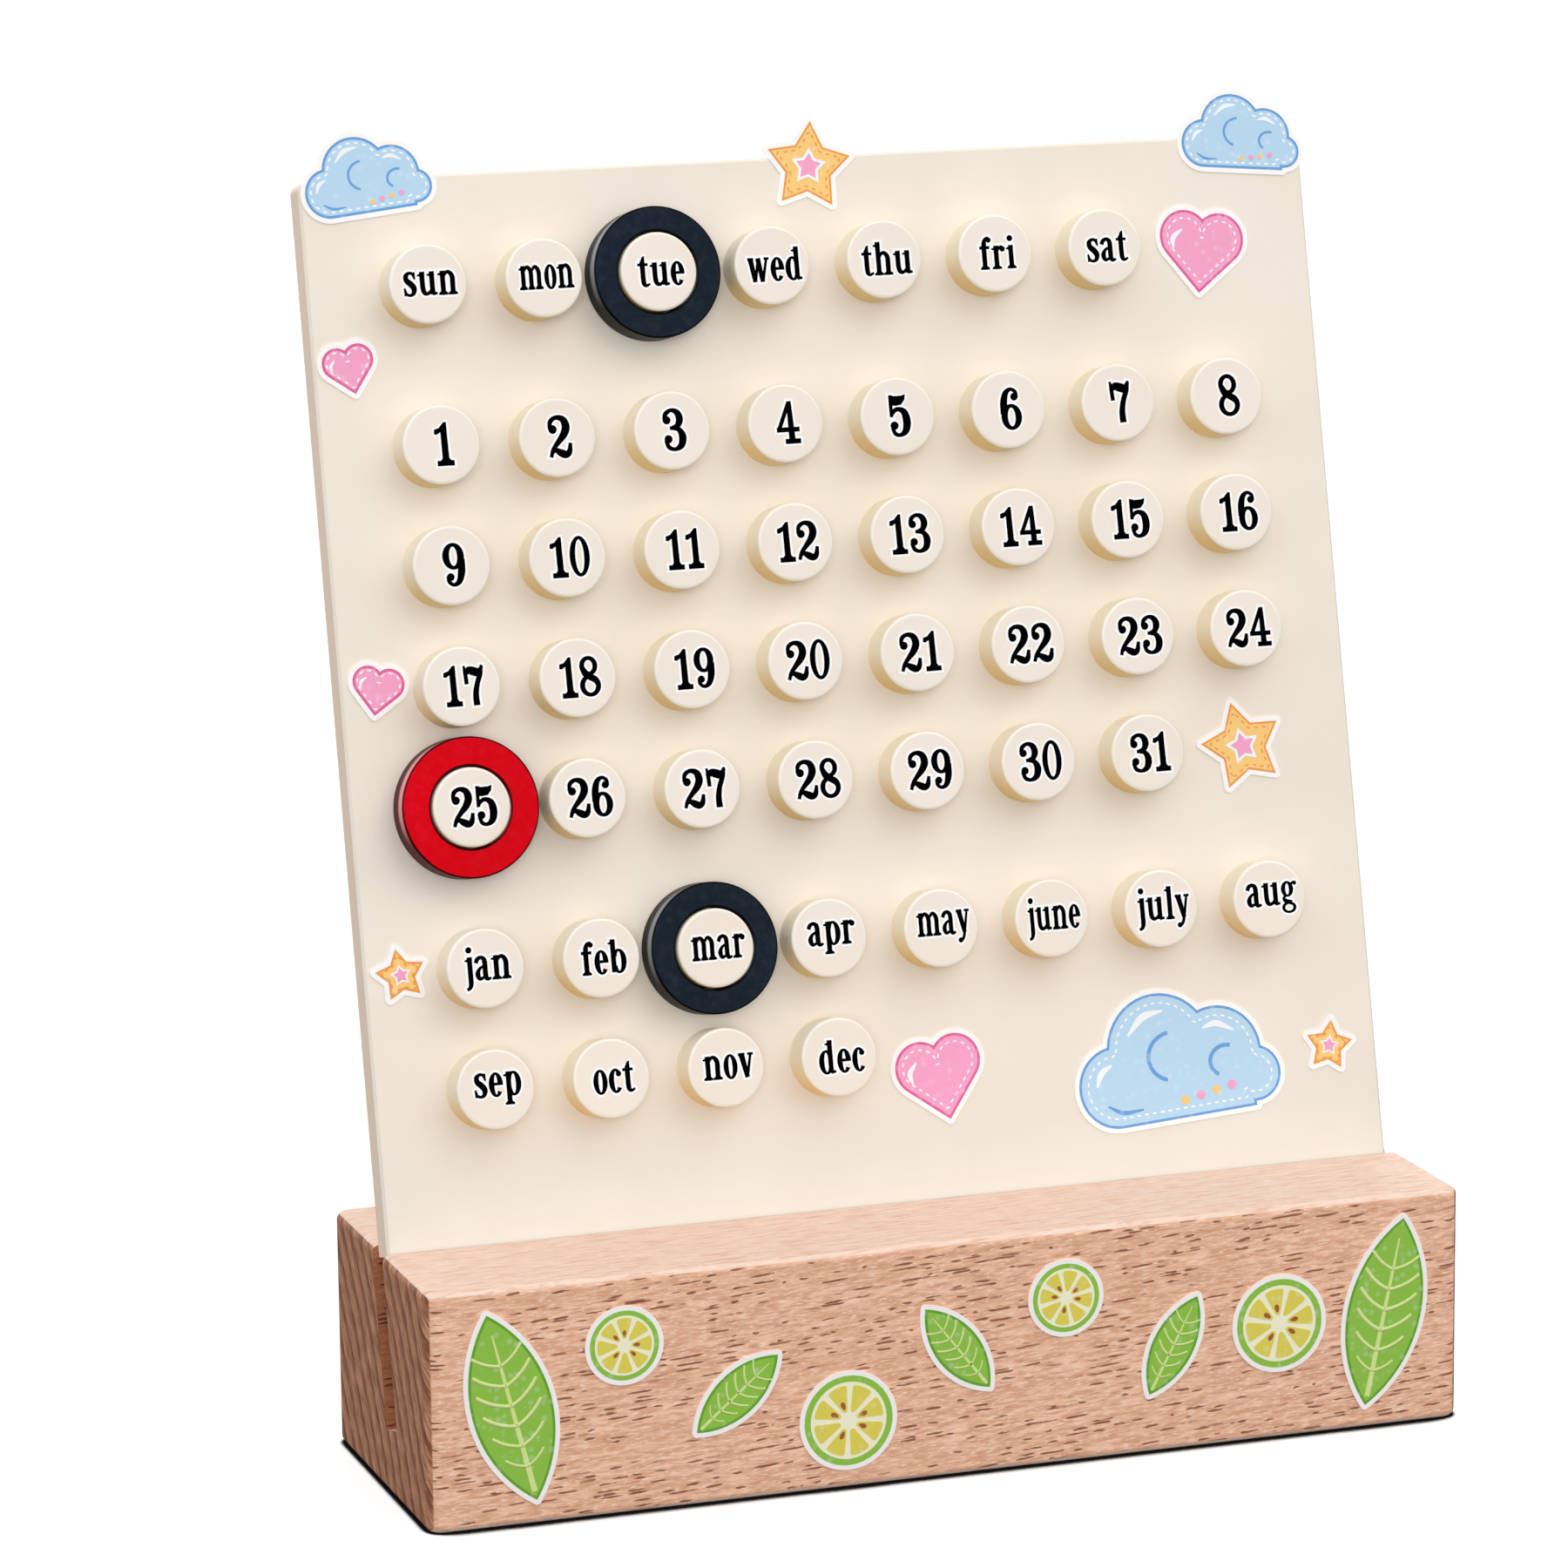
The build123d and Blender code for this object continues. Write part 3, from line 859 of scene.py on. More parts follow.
def wood_flecks(tree, grain, beech):
    """One tapered dash in most cells of a stretched pattern."""
    bend = grain.streaks(5 * MM, 1.6 * MM, 2.0, 5.3)["Color"]
    where = add(
        tree, "ShaderNodeVectorMath",
        {0: bend, 1: FLECK_BEND, 2: grain.cells(beech.fleck_length, beech.fleck_height)},
        operation="MULTIPLY_ADD",
    ).outputs[0]
    cells = add(
        tree, "ShaderNodeTexVoronoi", {"Vector": where, "Scale": 1.0}, voronoi_dimensions="2D",
    ).outputs
    from_middle = {0: where, 1: cells["Position"]}
    away = parts(tree, add(tree, "ShaderNodeVectorMath", from_middle, operation="SUBTRACT").outputs[0])
    lot = add(tree, "ShaderNodeSeparateColor", {0: cells["Color"]}).outputs
    along = maths(tree, "DIVIDE", away[0], remap(tree, lot[1], 0.0, 1.0, 0.22, 0.5, "LINEAR"))
    beside = maths(tree, "DIVIDE", away[1], remap(tree, lot[2], 0.0, 1.0, 0.2, 0.3, "LINEAR"))
    taper = maths(tree, "MULTIPLY_ADD", along, maths(tree, "MULTIPLY", along, -1.0), 1.0)
    shape = remap(tree, maths(tree, "SUBTRACT", taper, maths(tree, "ABSOLUTE", beside)), 0.0, 0.45)
    # Some stretches of the block have many flecks and others few
    stretches = grain.streaks(34 * MM, 9 * MM, 1.0, 14.2)["Fac"]
    crowd = remap(tree, stretches, 0.3, 0.7, -0.24, 0.18, "LINEAR")
    return maths(tree, "MULTIPLY", shape, remap(tree, maths(tree, "ADD", lot[0], crowd), 0.42, 0.68))


def growth_rings(tree, spot, beech):
    """Distance from the tree's heart with a slow waver, and the late wood's share in each ring."""
    across_grain = joined(tree, 0.0, spot[1], spot[2])
    ends = {0: across_grain, 1: PITH_AXIS}
    from_heart = add(tree, "ShaderNodeVectorMath", ends, operation="DISTANCE").outputs["Value"]
    waver = noise(tree, across_grain, 1 / (22 * MM))["Fac"]
    wavy = maths(tree, "MULTIPLY_ADD", waver, 4 * MM, from_heart)
    turns = maths(tree, "FRACT", maths(tree, "DIVIDE", wavy, beech.ring_spacing))
    late = maths(tree, "MULTIPLY", remap(tree, turns, 0.3, 0.85), remap(tree, turns, 1.0, 0.88))
    return wavy, late


def end_grain(tree, spot, wavy, late, beech):
    """Colour of the block's sawn ends: growth rings and the pores beside them."""
    beside_rings = joined(
        tree, maths(tree, "DIVIDE", wavy, 0.45 * MM), maths(tree, "DIVIDE", spot[2], 3.5 * MM),
    )
    pores = noise(tree, beside_rings, 1.0, 3.0, dimensions="2D")["Fac"]
    rings = blend(tree, late, EARLY_WOOD, LATE_WOOD)
    colour = blend(tree, 1.0, END_GRAIN_SHADE, rings, "MULTIPLY")
    colour = blend(tree, remap(tree, pores, 0.42, 0.7, 0.0, 0.6), colour, DARK_PORE)
    colour = blend(tree, remap(tree, pores, 0.42, 0.3, 0.0, 0.5), colour, PALE_PORE)
    return blend(tree, 1.0, colour, beech.light, "MULTIPLY")


def slot_share(tree, spot, facing):
    """1 on the slot's walls, 0 on the block's faces."""
    low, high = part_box("base_block")
    from_middle = maths(tree, "ABSOLUTE", maths(tree, "SUBTRACT", spot[1], (low.y + high.y) / 2))
    half = (high.y - low.y) / 2
    shallow, deep = SLOT_FROM_FACE
    within = remap(tree, from_middle, half - shallow, half - deep)
    upright = remap(tree, maths(tree, "ABSOLUTE", facing[1]), 0.8, 0.9)
    return maths(tree, "MULTIPLY", within, upright)


def beech_wood(beech):
    """Straight-grained beech: the grain runs along X and short dark flecks lie along it."""
    material, tree, shader, coords = start_material("beech")
    facing = parts(tree, coords.outputs["Normal"])
    spot = parts(tree, coords.outputs["Object"])
    upward = remap(tree, maths(tree, "ABSOLUTE", facing[2]), 0.42, 0.5)
    sawn = remap(tree, maths(tree, "ABSOLUTE", facing[0]), 0.62, 0.72)
    grain = Grain(tree, spot, upward)
    bands = grain.streaks(46 * MM, 5 * MM, 2.0)["Fac"]
    fine = grain.streaks(6 * MM, 0.9 * MM, 4.0, 3.7)["Fac"]
    fibres = grain.streaks(1.9 * MM, 0.3 * MM, 3.0, 8.1)["Fac"]
    top_streaks = grain.streaks(8 * MM, 0.7 * MM, 3.0, 11.9)["Fac"]
    wavy, late = growth_rings(tree, spot, beech)

    # Grain, then rings, bands, dark and pale fibres, and the paler top, a painted glare, with its own
    # streaks
    wood = blend(tree, remap(tree, fine, 0.32, 0.66), beech.light, beech.dark)
    for share, colour in (
        (maths(tree, "MULTIPLY", late, 0.22), beech.dark),
        (remap(tree, bands, 0.35, 0.75, 0.0, 0.3), beech.dark),
        (remap(tree, fibres, 0.5, 0.75, 0.0, 0.18), beech.fleck),
        (remap(tree, fibres, 0.46, 0.28, 0.0, 0.9), PALE_FIBRE),
        # Painted glare: faces that look up turn paler
        (maths(tree, "MULTIPLY", upward, 0.7), beech.top),
        (maths(tree, "MULTIPLY", upward, remap(tree, top_streaks, 0.48, 0.7, 0.0, 0.6)), beech.dark),
    ):
        wood = blend(tree, share, wood, colour)
    # Flecks are strong on the front and back, and faint on the top
    strength = remap(tree, upward, 0.0, 1.0, 0.84, 0.16)
    flecks = maths(tree, "MULTIPLY", wood_flecks(tree, grain, beech), strength)
    wood = blend(tree, flecks, wood, beech.fleck)
    # Painted shade: the slot's walls are darker and redder than the block's faces, for the shade and warm
    # bounce inside the slot
    shaded_slot = blend(tree, 1.0, wood, PAINTED_SLOT_SHADE, "MULTIPLY")
    wood = blend(tree, slot_share(tree, spot, facing), wood, shaded_slot)
    plug(tree, shader, {
        "Base Color": blend(tree, sawn, wood, end_grain(tree, spot, wavy, late, beech)),
        "Roughness": remap(tree, fibres, 0.3, 0.7, 0.55, 0.72),
        "Specular IOR Level": 0.25,
    })
    relief = maths(tree, "SUBTRACT", maths(tree, "MULTIPLY", fibres, -0.35), flecks)
    add_relief(tree, shader, relief, 0.12 * MM, 0.5)
    return material


# ---- Print and vinyl ----
def print_ink(name, roughness, flakes):
    """Print that takes its colour from the piece, with pearly flakes if there are any."""
    material, tree, shader, coords = start_material(name)
    tint = add(tree, "ShaderNodeAttribute", attribute_name="print_colour").outputs["Color"]
    spots = add(tree, "ShaderNodeTexVoronoi", {"Vector": coords.outputs["Object"], "Scale": 800.0})
    lot = add(tree, "ShaderNodeSeparateColor", {0: spots.outputs["Color"]}).outputs
    round_spot = remap(tree, spots.outputs["Distance"], 0.6, 0.25)
    flake = maths(tree, "MULTIPLY", remap(tree, lot[0], 0.55, 0.95), round_spot)
    glint = maths(tree, "MULTIPLY", flake, flakes)
    plug(tree, shader, {
        "Base Color": blend(tree, glint, tint, PEARL),
        "Roughness": remap(tree, lot[1], 0.0, 1.0, roughness - 0.05, roughness + 0.08),
        "Specular IOR Level": 0.0,
    })
    return material


def vinyl(stickers):
    """White die-cut vinyl."""
    material, tree, shader, coords = start_material("sticker_vinyl")
    put_on_skin(
        tree, shader, coords, stickers.vinyl, GREY_DUST,
        clouding=0.15, smoothness=0.32, gloss=0.5, depth=0.004 * MM,
    )
    return material


def finish_nodes(names, material):
    """Give nodes of the frame their finish."""
    for name in names:
        mesh = frame["nodes"][name].data
        mesh.materials.clear()
        mesh.materials.append(material)


# ---- Stickers: the same motifs and places as their borders in the frame, in millimetres ----
# Shares of a cloud's width: each puff's place and radius, and its level floor's middle and size
CLOUD_PUFFS = [(-0.31, -0.08, 0.19), (-0.08, 0.06, 0.26), (0.2, 0.0, 0.22), (0.37, -0.12, 0.13)]
CLOUD_FLOOR = (0.02, -0.17, 0.68, 0.2)
STAR_POINTS = 5
STAR_NOTCH = 0.55  # how far out a notch lies, as a share of a tip's distance
STAR_GROWTH = 1.6  # a star's tips move this much further out than its edges
LEAF_BULGE = 0.72  # radius of a leaf's curved sides, as a share of its length
LEAF_HALF_WIDTH = 0.21


class Sticker(NamedTuple):
    """Where a sticker's middle lies on its face, how large its motif is and how it is turned."""

    across: float
    up: float
    size: float
    turn: float = 0


CLOUDS = [Sticker(-85.65, 195.5, 24, 6), Sticker(86.55, 195.5, 24, -5), Sticker(57.65, 21.45, 40.9, 4)]
HEARTS = [
    Sticker(76.35, 172.8, 17, -8), Sticker(-91.75, 160.15, 9.8, 10), Sticker(-91.75, 101.5, 9.8, -12),
    Sticker(10.35, 21.45, 17, 9),
]
STARS = [
    Sticker(-0.65, 193.5, 17, -7), Sticker(-91.75, 50.2, 9.8, 8), Sticker(76.35, 79.5, 17, 12),
    Sticker(88.75, 21.45, 9.8, -10),
]
CELL = 21.222  # from one leaf or slice to the next along the block
LEAVES = [
    Sticker(-4 * CELL, 22.25, 35.7, 14), Sticker(-2 * CELL, 20.25, 20, -50), Sticker(0, 24.25, 20, 38),
    Sticker(2 * CELL, 20.25, 20, -28), Sticker(4 * CELL, 22.25, 35.7, -12),
]
SLICES = [
    Sticker(-3 * CELL, 31.6, 13), Sticker(-CELL, 12.9, 17, 20), Sticker(CELL, 31.6, 13, 35),
    Sticker(3 * CELL, 22.25, 17, 10),
]
STICKER_THICKNESS = 0.3 * MM


def sticker_place(face, sticker, layer):
    """Place of a sticker's print on its face, in the units of a motif drawn in millimetres."""
    lift = STICKER_THICKNESS + layer * INK_STEP
    spot = Matrix.Translation((sticker.across * MM, sticker.up * MM, lift))
    return face @ spot @ Matrix.Rotation(math.radians(sticker.turn), 4, "Z") @ Matrix.Scale(MM, 4)


def scaled(size, *shares):
    """Measures given as shares of a motif's size."""
    return [share * size for share in shares]


def pen(size, *knots):
    """A pen stroke whose knots are given as shares of a motif's size."""
    return stroke(*[scaled(size, *knot) for knot in knots])


# Outlines of the motifs for a size in millimetres
def cloud_outline(width):
    x, y, floor_width, floor_height = scaled(width, *CLOUD_FLOOR)
    floor = slab(x - floor_width / 2, x + floor_width / 2, y - floor_height / 2, y + floor_height / 2)
    return [disc(*scaled(width, *puff)) for puff in CLOUD_PUFFS] + [floor]


def heart_outline(width):
    slant = math.cos(math.radians(45))
    side = width / (1 + slant)
    lobe = side / 2 * slant

    def point_down(grow):
        tip = Vector((0, -2 * lobe - grow * math.sqrt(2)))
        side_step = Vector((1, -1)).normalized() * (side / 2 + grow)
        right, left = Vector((lobe, lobe)), Vector((-lobe, lobe))
        return [[tip, right + side_step, right, left, left + Vector((-side_step.x, side_step.y))]]

    return [point_down, disc(-lobe, lobe, side / 2), disc(lobe, lobe, side / 2)]


def star_outline(width):
    def cells(grow):
        tips = []
        for index in range(2 * STAR_POINTS):
            size = (width / 2 + STAR_GROWTH * grow) * (STAR_NOTCH if index % 2 else 1)
            angle = math.radians(90 + 180 * index / STAR_POINTS)
            tips.append(Vector((size * math.cos(angle), size * math.sin(angle))))
        return [[tips[index - 1], tips[index], tips[(index + 1) % len(tips)], Vector((0, 0))]
                for index in range(0, len(tips), 2)]

    return [cells]


def leaf_outline(length):
    def cells(grow):
        radius = LEAF_BULGE * length + grow
        centre = (LEAF_BULGE - LEAF_HALF_WIDTH) * length
        spread = math.acos(centre / radius)
        steps = [spread * (2 * index / STICKER_SIDES - 1) for index in range(STICKER_SIDES)]
        right = [Vector((radius * math.cos(a) - centre, radius * math.sin(a))) for a in steps]
        return [right + [-point for point in right]]

    return [cells]


def slice_outline(width):
    return [disc(0, 0, width / 2)]


def edge_loop(outline, inset):
    """Points round the joined outline of a motif, moved in from its edge."""
    points, faces = plate(all_cells(outline, -inset), 0, 0)
    half = len(points) // 2
    tops = [face for face in faces if max(face) < half]
    edges = {edge for ring in tops for edge in zip(ring, ring[1:] + list(ring[:1]))}
    after = {a: b for a, b in edges if (b, a) not in edges}
    start = min(after)
    loop = [start]
    while after[loop[-1]] != start:
        loop.append(after[loop[-1]])
    return [points[index] for index in loop]


def print_stickers(face, motifs, colours, ink, body):
    """Print motifs, each (piece, stickers, layers, number of its lowest layer)."""
    for piece, stickers, layers, lowest in motifs:
        sheet = PrintSheet()
        for sticker in stickers:
            for layer, (marks, grow, colour) in enumerate(layers(sticker.size, colours), lowest):
                low = -(PRINT_BITE + layer * INK_STEP) / MM
                solid = plate(all_cells(marks, grow), low, 0)
                sheet.add(solid, sticker_place(face, sticker, layer), colour)
        sheet.make(piece, ink, body)


OUTLINE_WIDTH = 0.5
WHITE = (0.9, 0.93, 0.97)


# Layers of each motif from the lowest up, each (marks, growth, colour), for a size in millimetres
def cloud_layers(size, colours):
    """Pale puffs with light crowns, small curls and a row of pearls."""
    crowns = [
        pen(size, (-0.41, -0.065, 0.01), (-0.38, -0.005, 0.03), (-0.325, 0.025, 0.01)),
        pen(size, (-0.225, 0.145, 0.01), (-0.14, 0.22, 0.035), (-0.04, 0.235, 0.01)),
        pen(size, (0.145, 0.125, 0.01), (0.215, 0.137, 0.03), (0.295, 0.094, 0.01)),
    ]
    curls = [
        bowl(*scaled(size, -0.02, 0.02, 0.13, 0.12, 0.018, 0.018), 95, 250),
        bowl(*scaled(size, 0.24, -0.04, 0.09, 0.08, 0.018, 0.018), 70, 235),
        pen(size, (-0.37, -0.16, 0.008), (-0.3, -0.2, 0.02), (-0.2, -0.2, 0.008)),
    ]
    pearls = [
        disc(*scaled(size, 0.01 + 0.08 * step, -0.19 + 0.012 * step, 0.021)) for step in range(4)
    ]
    return [
        (cloud_outline(size), 0, colours.sky_line),
        (cloud_outline(size), -OUTLINE_WIDTH, colours.sky),
        (crowns, 0, WHITE),
        (curls, 0, colours.sky_line),
        (pearls[::2], 0, colours.amber),
        (pearls[1::2], 0, colours.pink),
    ]


def heart_layers(size, colours):
    """A pink heart with a light shine at its upper left."""
    return [
        (heart_outline(size), 0, colours.pink_line),
        (heart_outline(size), -OUTLINE_WIDTH, colours.pink),
        ([pen(size, (-0.33, 0.06, 0.02), (-0.34, 0.18, 0.06), (-0.24, 0.28, 0.02))], 0, WHITE),
    ]


def star_layers(size, colours):
    """An amber star with a white and a pink one in its middle."""
    return [
        (star_outline(size), 0, colours.amber_line),
        (star_outline(size), -OUTLINE_WIDTH, colours.amber),
        (star_outline(0.42 * size), 0, WHITE),
        (star_outline(0.3 * size), 0, colours.pink),
    ]


def leaf_layers(size, colours):
    """A green leaf with its midrib."""
    return [
        (leaf_outline(size), 0, colours.leaf_line),
        (leaf_outline(size), -OUTLINE_WIDTH, colours.leaf),
        ([pen(size, (0, -0.46, 0.03), (0, 0.1, 0.02), (0, 0.4, 0.008))], 0, colours.leaf_vein),
    ]


PEEL = 0.07  # share of a slice's width
PIP_TURNS = (0, 90, 135, 225, 315)  # degrees round a slice
PIP_KNOTS = ((0.13, 0.02), (0.18, 0.055), (0.22, 0.03))  # distance from the middle and width
PIP_LAYER = 5  # clear of the segments


def slice_layers(size, colours):
    """Green peel and pale pith."""
    return [
        (slice_outline(size), 0, colours.leaf),
        (slice_outline(size), -PEEL * size, colours.pith),
    ]


def slice_pips(size, colours):
    """Pips that lie on some of a slice's segments."""
    pips = []
    for turn in PIP_TURNS:
        out = Vector((math.cos(math.radians(turn)), math.sin(math.radians(turn)))) * size
        pips.append(stroke(*[(*(away * out), width * size) for away, width in PIP_KNOTS]))
    return [(pips, 0, colours.pip)]


# ---- Geometry nodes: what repeats on the stickers ----
SEAM_REACH = 1e-6  # metres between points that become one


def start_rule(name, numbers):
    """A new tree of geometry nodes: its inputs are numbers, the face's normal and the print."""
    kinds = {title: "Int" if isinstance(value, int) else "Float" for title, value in numbers.items()}
    tree, given, made = start_tree(
        name, "GeometryNodeTree",
        {"Geometry": "Geometry", **kinds, "Normal": "Vector", "Print": "Material"},
        {"Geometry": "Geometry"},
    )
    for item in tree.interface.items_tree:
        if item.name in numbers:
            item.default_value = numbers[item.name]
    return tree, given, made


def end_rule(tree, given, made, shape):
    """Realize the copies, give them their print and end the tree."""
    real = add(tree, "GeometryNodeRealizeInstances", {"Geometry": shape}).outputs[0]
    inked = add(tree, "GeometryNodeSetMaterial", {"Geometry": real, "Material": given["Print"]})
    tree.links.new(inked.outputs[0], made["Geometry"])
    return tree


def together(tree, *shapes):
    """Several shapes as one."""
    node = tree.nodes.new("GeometryNodeJoinGeometry")
    for shape in shapes:
        tree.links.new(shape, node.inputs[0])
    return node.outputs[0]


def rounded_plate(tree, outline, corner, steps, thickness):
    """A closed plate inside an outline whose corners are rounded in a few steps."""
    rounding = {"Curve": outline, "Radius": corner, "Count": steps, "Limit Radius": True}
    soft = add(tree, "GeometryNodeFilletCurve", rounding, mode="POLY").outputs[0]
    flat = add(tree, "GeometryNodeFillCurve", {"Curve": soft}, mode="NGONS").outputs[0]
    rise = {"Mesh": flat, "Offset Scale": thickness, "Individual": False}
    raised = add(tree, "GeometryNodeExtrudeMesh", rise).outputs["Mesh"]
    floor = add(tree, "GeometryNodeFlipFaces", {"Mesh": flat}).outputs[0]
    sewn = {"Geometry": together(tree, raised, floor), "Distance": SEAM_REACH}
    return add(tree, "GeometryNodeMergeByDistance", sewn).outputs[0]


def named(tree, name, kind):
    """Output of an attribute stored on the points."""
    node = add(tree, "GeometryNodeInputNamedAttribute", {"Name": name}, data_type=kind)
    return node.outputs["Attribute"]


def stand_on(tree, normal, along):
    """Rotation that stands a shape on a face, with its X along a direction."""
    return add(
        tree, "FunctionNodeAxesToRotation", {"Primary Axis": normal, "Secondary Axis": along},
        primary_axis="Z", secondary_axis="X",
    ).outputs[0]


def copies(tree, points, shape, **placing):
    """A shape's copies on points, with their Rotation or Scale."""
    inputs = {"Points": points, "Instance": shape, **placing}
    return add(tree, "GeometryNodeInstanceOnPoints", inputs).outputs[0]


def on_stickers(tree, given, shape):
    """A shape's copy on each sticker, turned and sized as the sticker's point says."""
    turn = stand_on(tree, given["Normal"], named(tree, "across", "FLOAT_VECTOR"))
    return copies(tree, given["Geometry"], shape, Rotation=turn, Scale=named(tree, "size", "FLOAT"))


def segments_rule():
    """Rounded segments round the middle of each slice."""
    tree, given, made = start_rule("slice_segments", {
        "Count": 8, "Segment reach": 0.36, "Hub": 0.035, "Wedge": 0.66, "Corner": 0.03,
        "Thickness": 0.0025,
    })
    wedge = given["Wedge"]
    pie = add(
        tree, "GeometryNodeCurveArc",
        {"Resolution": 9, "Radius": given["Segment reach"], "Connect Center": True,
         "Start Angle": maths(tree, "MULTIPLY", wedge, -0.5), "Sweep Angle": wedge},
        mode="RADIUS",
    ).outputs[0]
    segment = rounded_plate(tree, pie, given["Corner"], 3, given["Thickness"])
    feet = {"Vertices": given["Count"], "Radius": given["Hub"]}
    hub = add(tree, "GeometryNodeMeshCircle", feet).outputs[0]
    step = maths(tree, "DIVIDE", math.tau, given["Count"])
    angle = maths(tree, "MULTIPLY", tree.nodes.new("GeometryNodeInputIndex").outputs[0], step)
    ring = copies(tree, hub, segment, Rotation=joined(tree, z=angle))
    return end_rule(tree, given, made, on_stickers(tree, given, ring))


VEIN_CURVE = {"Start": (0, 0, 0), "Middle": (0.45, 0.12, 0), "End": (0.78, 0.5, 0)}


def veins_rule():
    """Pairs of side veins up each leaf, as long as the leaf is wide there."""
    tree, given, made = start_rule("leaf_veins", {
        "Pairs": 6, "Lowest": -0.32, "Spacing": 0.11, "Bulge": LEAF_BULGE, "Half width": LEAF_HALF_WIDTH,
        "Vein width": 0.1, "Thickness": 0.002,
    })
    spots = add(
        tree, "GeometryNodeMeshLine",
        {"Count": given["Pairs"], "Start Location": joined(tree, y=given["Lowest"]),
         "Offset": joined(tree, y=given["Spacing"])},
    ).outputs[0]
    curve = add(tree, "GeometryNodeCurveQuadraticBezier", {"Resolution": 5, **VEIN_CURVE}).outputs[0]
    bar = {"Width": given["Vein width"], "Height": given["Thickness"]}
    profile = add(tree, "GeometryNodeCurvePrimitiveQuadrilateral", bar).outputs[0]
    swept = {"Curve": curve, "Profile Curve": profile, "Fill Caps": True}
    right = add(tree, "GeometryNodeCurveToMesh", swept).outputs[0]
    mirrored = add(tree, "GeometryNodeTransform", {"Geometry": right, "Scale": (-1, 1, 1)}).outputs[0]
    left = add(tree, "GeometryNodeFlipFaces", {"Mesh": mirrored}).outputs[0]
    # Half width of the leaf at each spot: its edge is part of a circle whose middle lies off to the side
    rise = parts(tree, tree.nodes.new("GeometryNodeInputPosition").outputs[0])[1]
    squares = [maths(tree, "POWER", length, 2.0) for length in (given["Bulge"], rise)]
    centre = maths(tree, "SUBTRACT", given["Bulge"], given["Half width"])
    half = maths(tree, "SUBTRACT", maths(tree, "SQRT", maths(tree, "SUBTRACT", *squares)), centre)
    veins = copies(tree, spots, together(tree, right, left), Scale=joined(tree, half, half, 1.0))
    return end_rule(tree, given, made, on_stickers(tree, given, veins))


def stitches_rule():
    """Short dashes along every edge line."""
    tree, given, made = start_rule("edge_stitches", {
        "Pitch": 1.6 * MM, "Length": 0.8 * MM, "Width": 0.3 * MM, "Thickness": 0.06 * MM,
    })
    line = add(tree, "GeometryNodeMeshToCurve", {"Mesh": given["Geometry"]}).outputs[0]
    spacing = {"Curve": line, "Length": given["Pitch"]}
    spots = add(tree, "GeometryNodeResampleCurve", spacing, mode="LENGTH").outputs[0]
    size = {"Width": given["Length"], "Height": given["Width"]}
    box = add(tree, "GeometryNodeCurvePrimitiveQuadrilateral", size).outputs[0]
    corner = maths(tree, "MULTIPLY", given["Width"], 0.45)
    dash = rounded_plate(tree, box, corner, 2, given["Thickness"])
    turn = stand_on(tree, given["Normal"], tree.nodes.new("GeometryNodeInputTangent").outputs[0])
    return end_rule(tree, given, made, copies(tree, spots, dash, Rotation=turn))


def follow_rule(name, mesh, tree, normal, ink, body):
    """Run a tree over a mesh of points or lines, and keep the result as a plain piece of print."""
    guide = new_object(name + ".guide", mesh)
    modifier = guide.modifiers.new(tree.name, "NODES")
    modifier.node_group = tree
    items = tree.interface.items_tree
    sockets = {item.name: item.identifier for item in items if item.in_out == "INPUT"}
    modifier[sockets["Normal"]] = normal
    modifier[sockets["Print"]] = ink
    bpy.context.view_layer.update()
    view = bpy.context.evaluated_depsgraph_get()
    evaluated = guide.evaluated_get(view)
    made = bpy.data.meshes.new_from_object(evaluated, preserve_all_data_layers=True, depsgraph=view)
    bpy.data.objects.remove(guide)
    made.name = name
    shell = bmesh.new()
    shell.from_mesh(made)
    bmesh.ops.recalc_face_normals(shell, faces=shell.faces)
    shell.to_mesh(made)
    shell.free()
    return put_in_place(name, made, body)


PATTERN_LAYER = 2  # segments and veins stand on a motif's second layer of print


def sticker_points(face, stickers, colour):
    """A mesh with one point in the middle of each sticker, with its size, direction and colour."""
    places = [sticker_place(face, sticker, PATTERN_LAYER) for sticker in stickers]
    mesh = bpy.data.meshes.new("sticker_points")
    mesh.from_pydata([place.translation for place in places], [], [])
    across = mesh.attributes.new("across", "FLOAT_VECTOR", "POINT")
    directions = [place.col[0].xyz.normalized() for place in places]
    across.data.foreach_set("vector", [value for direction in directions for value in direction])
    size = mesh.attributes.new("size", "FLOAT", "POINT")
    size.data.foreach_set("value", [sticker.size * MM for sticker in stickers])
    colour_points(mesh, [colour] * len(stickers))
    return mesh


def edge_lines(face, stickers, outline, inset, colour):
    """A mesh of closed lines just inside the edge of each sticker's motif."""
    points, edges = [], []
    for sticker in stickers:
        loop = edge_loop(outline(sticker.size), inset * sticker.size)
        start = len(points)
        place = sticker_place(face, sticker, 0)
        points += [place @ point for point in loop]
        edges += [(start + index, start + (index + 1) % len(loop)) for index in range(len(loop))]
    mesh = bpy.data.meshes.new("edge_lines")
    mesh.from_pydata(points, edges, [])
    colour_points(mesh, [colour] * len(points))
    return mesh


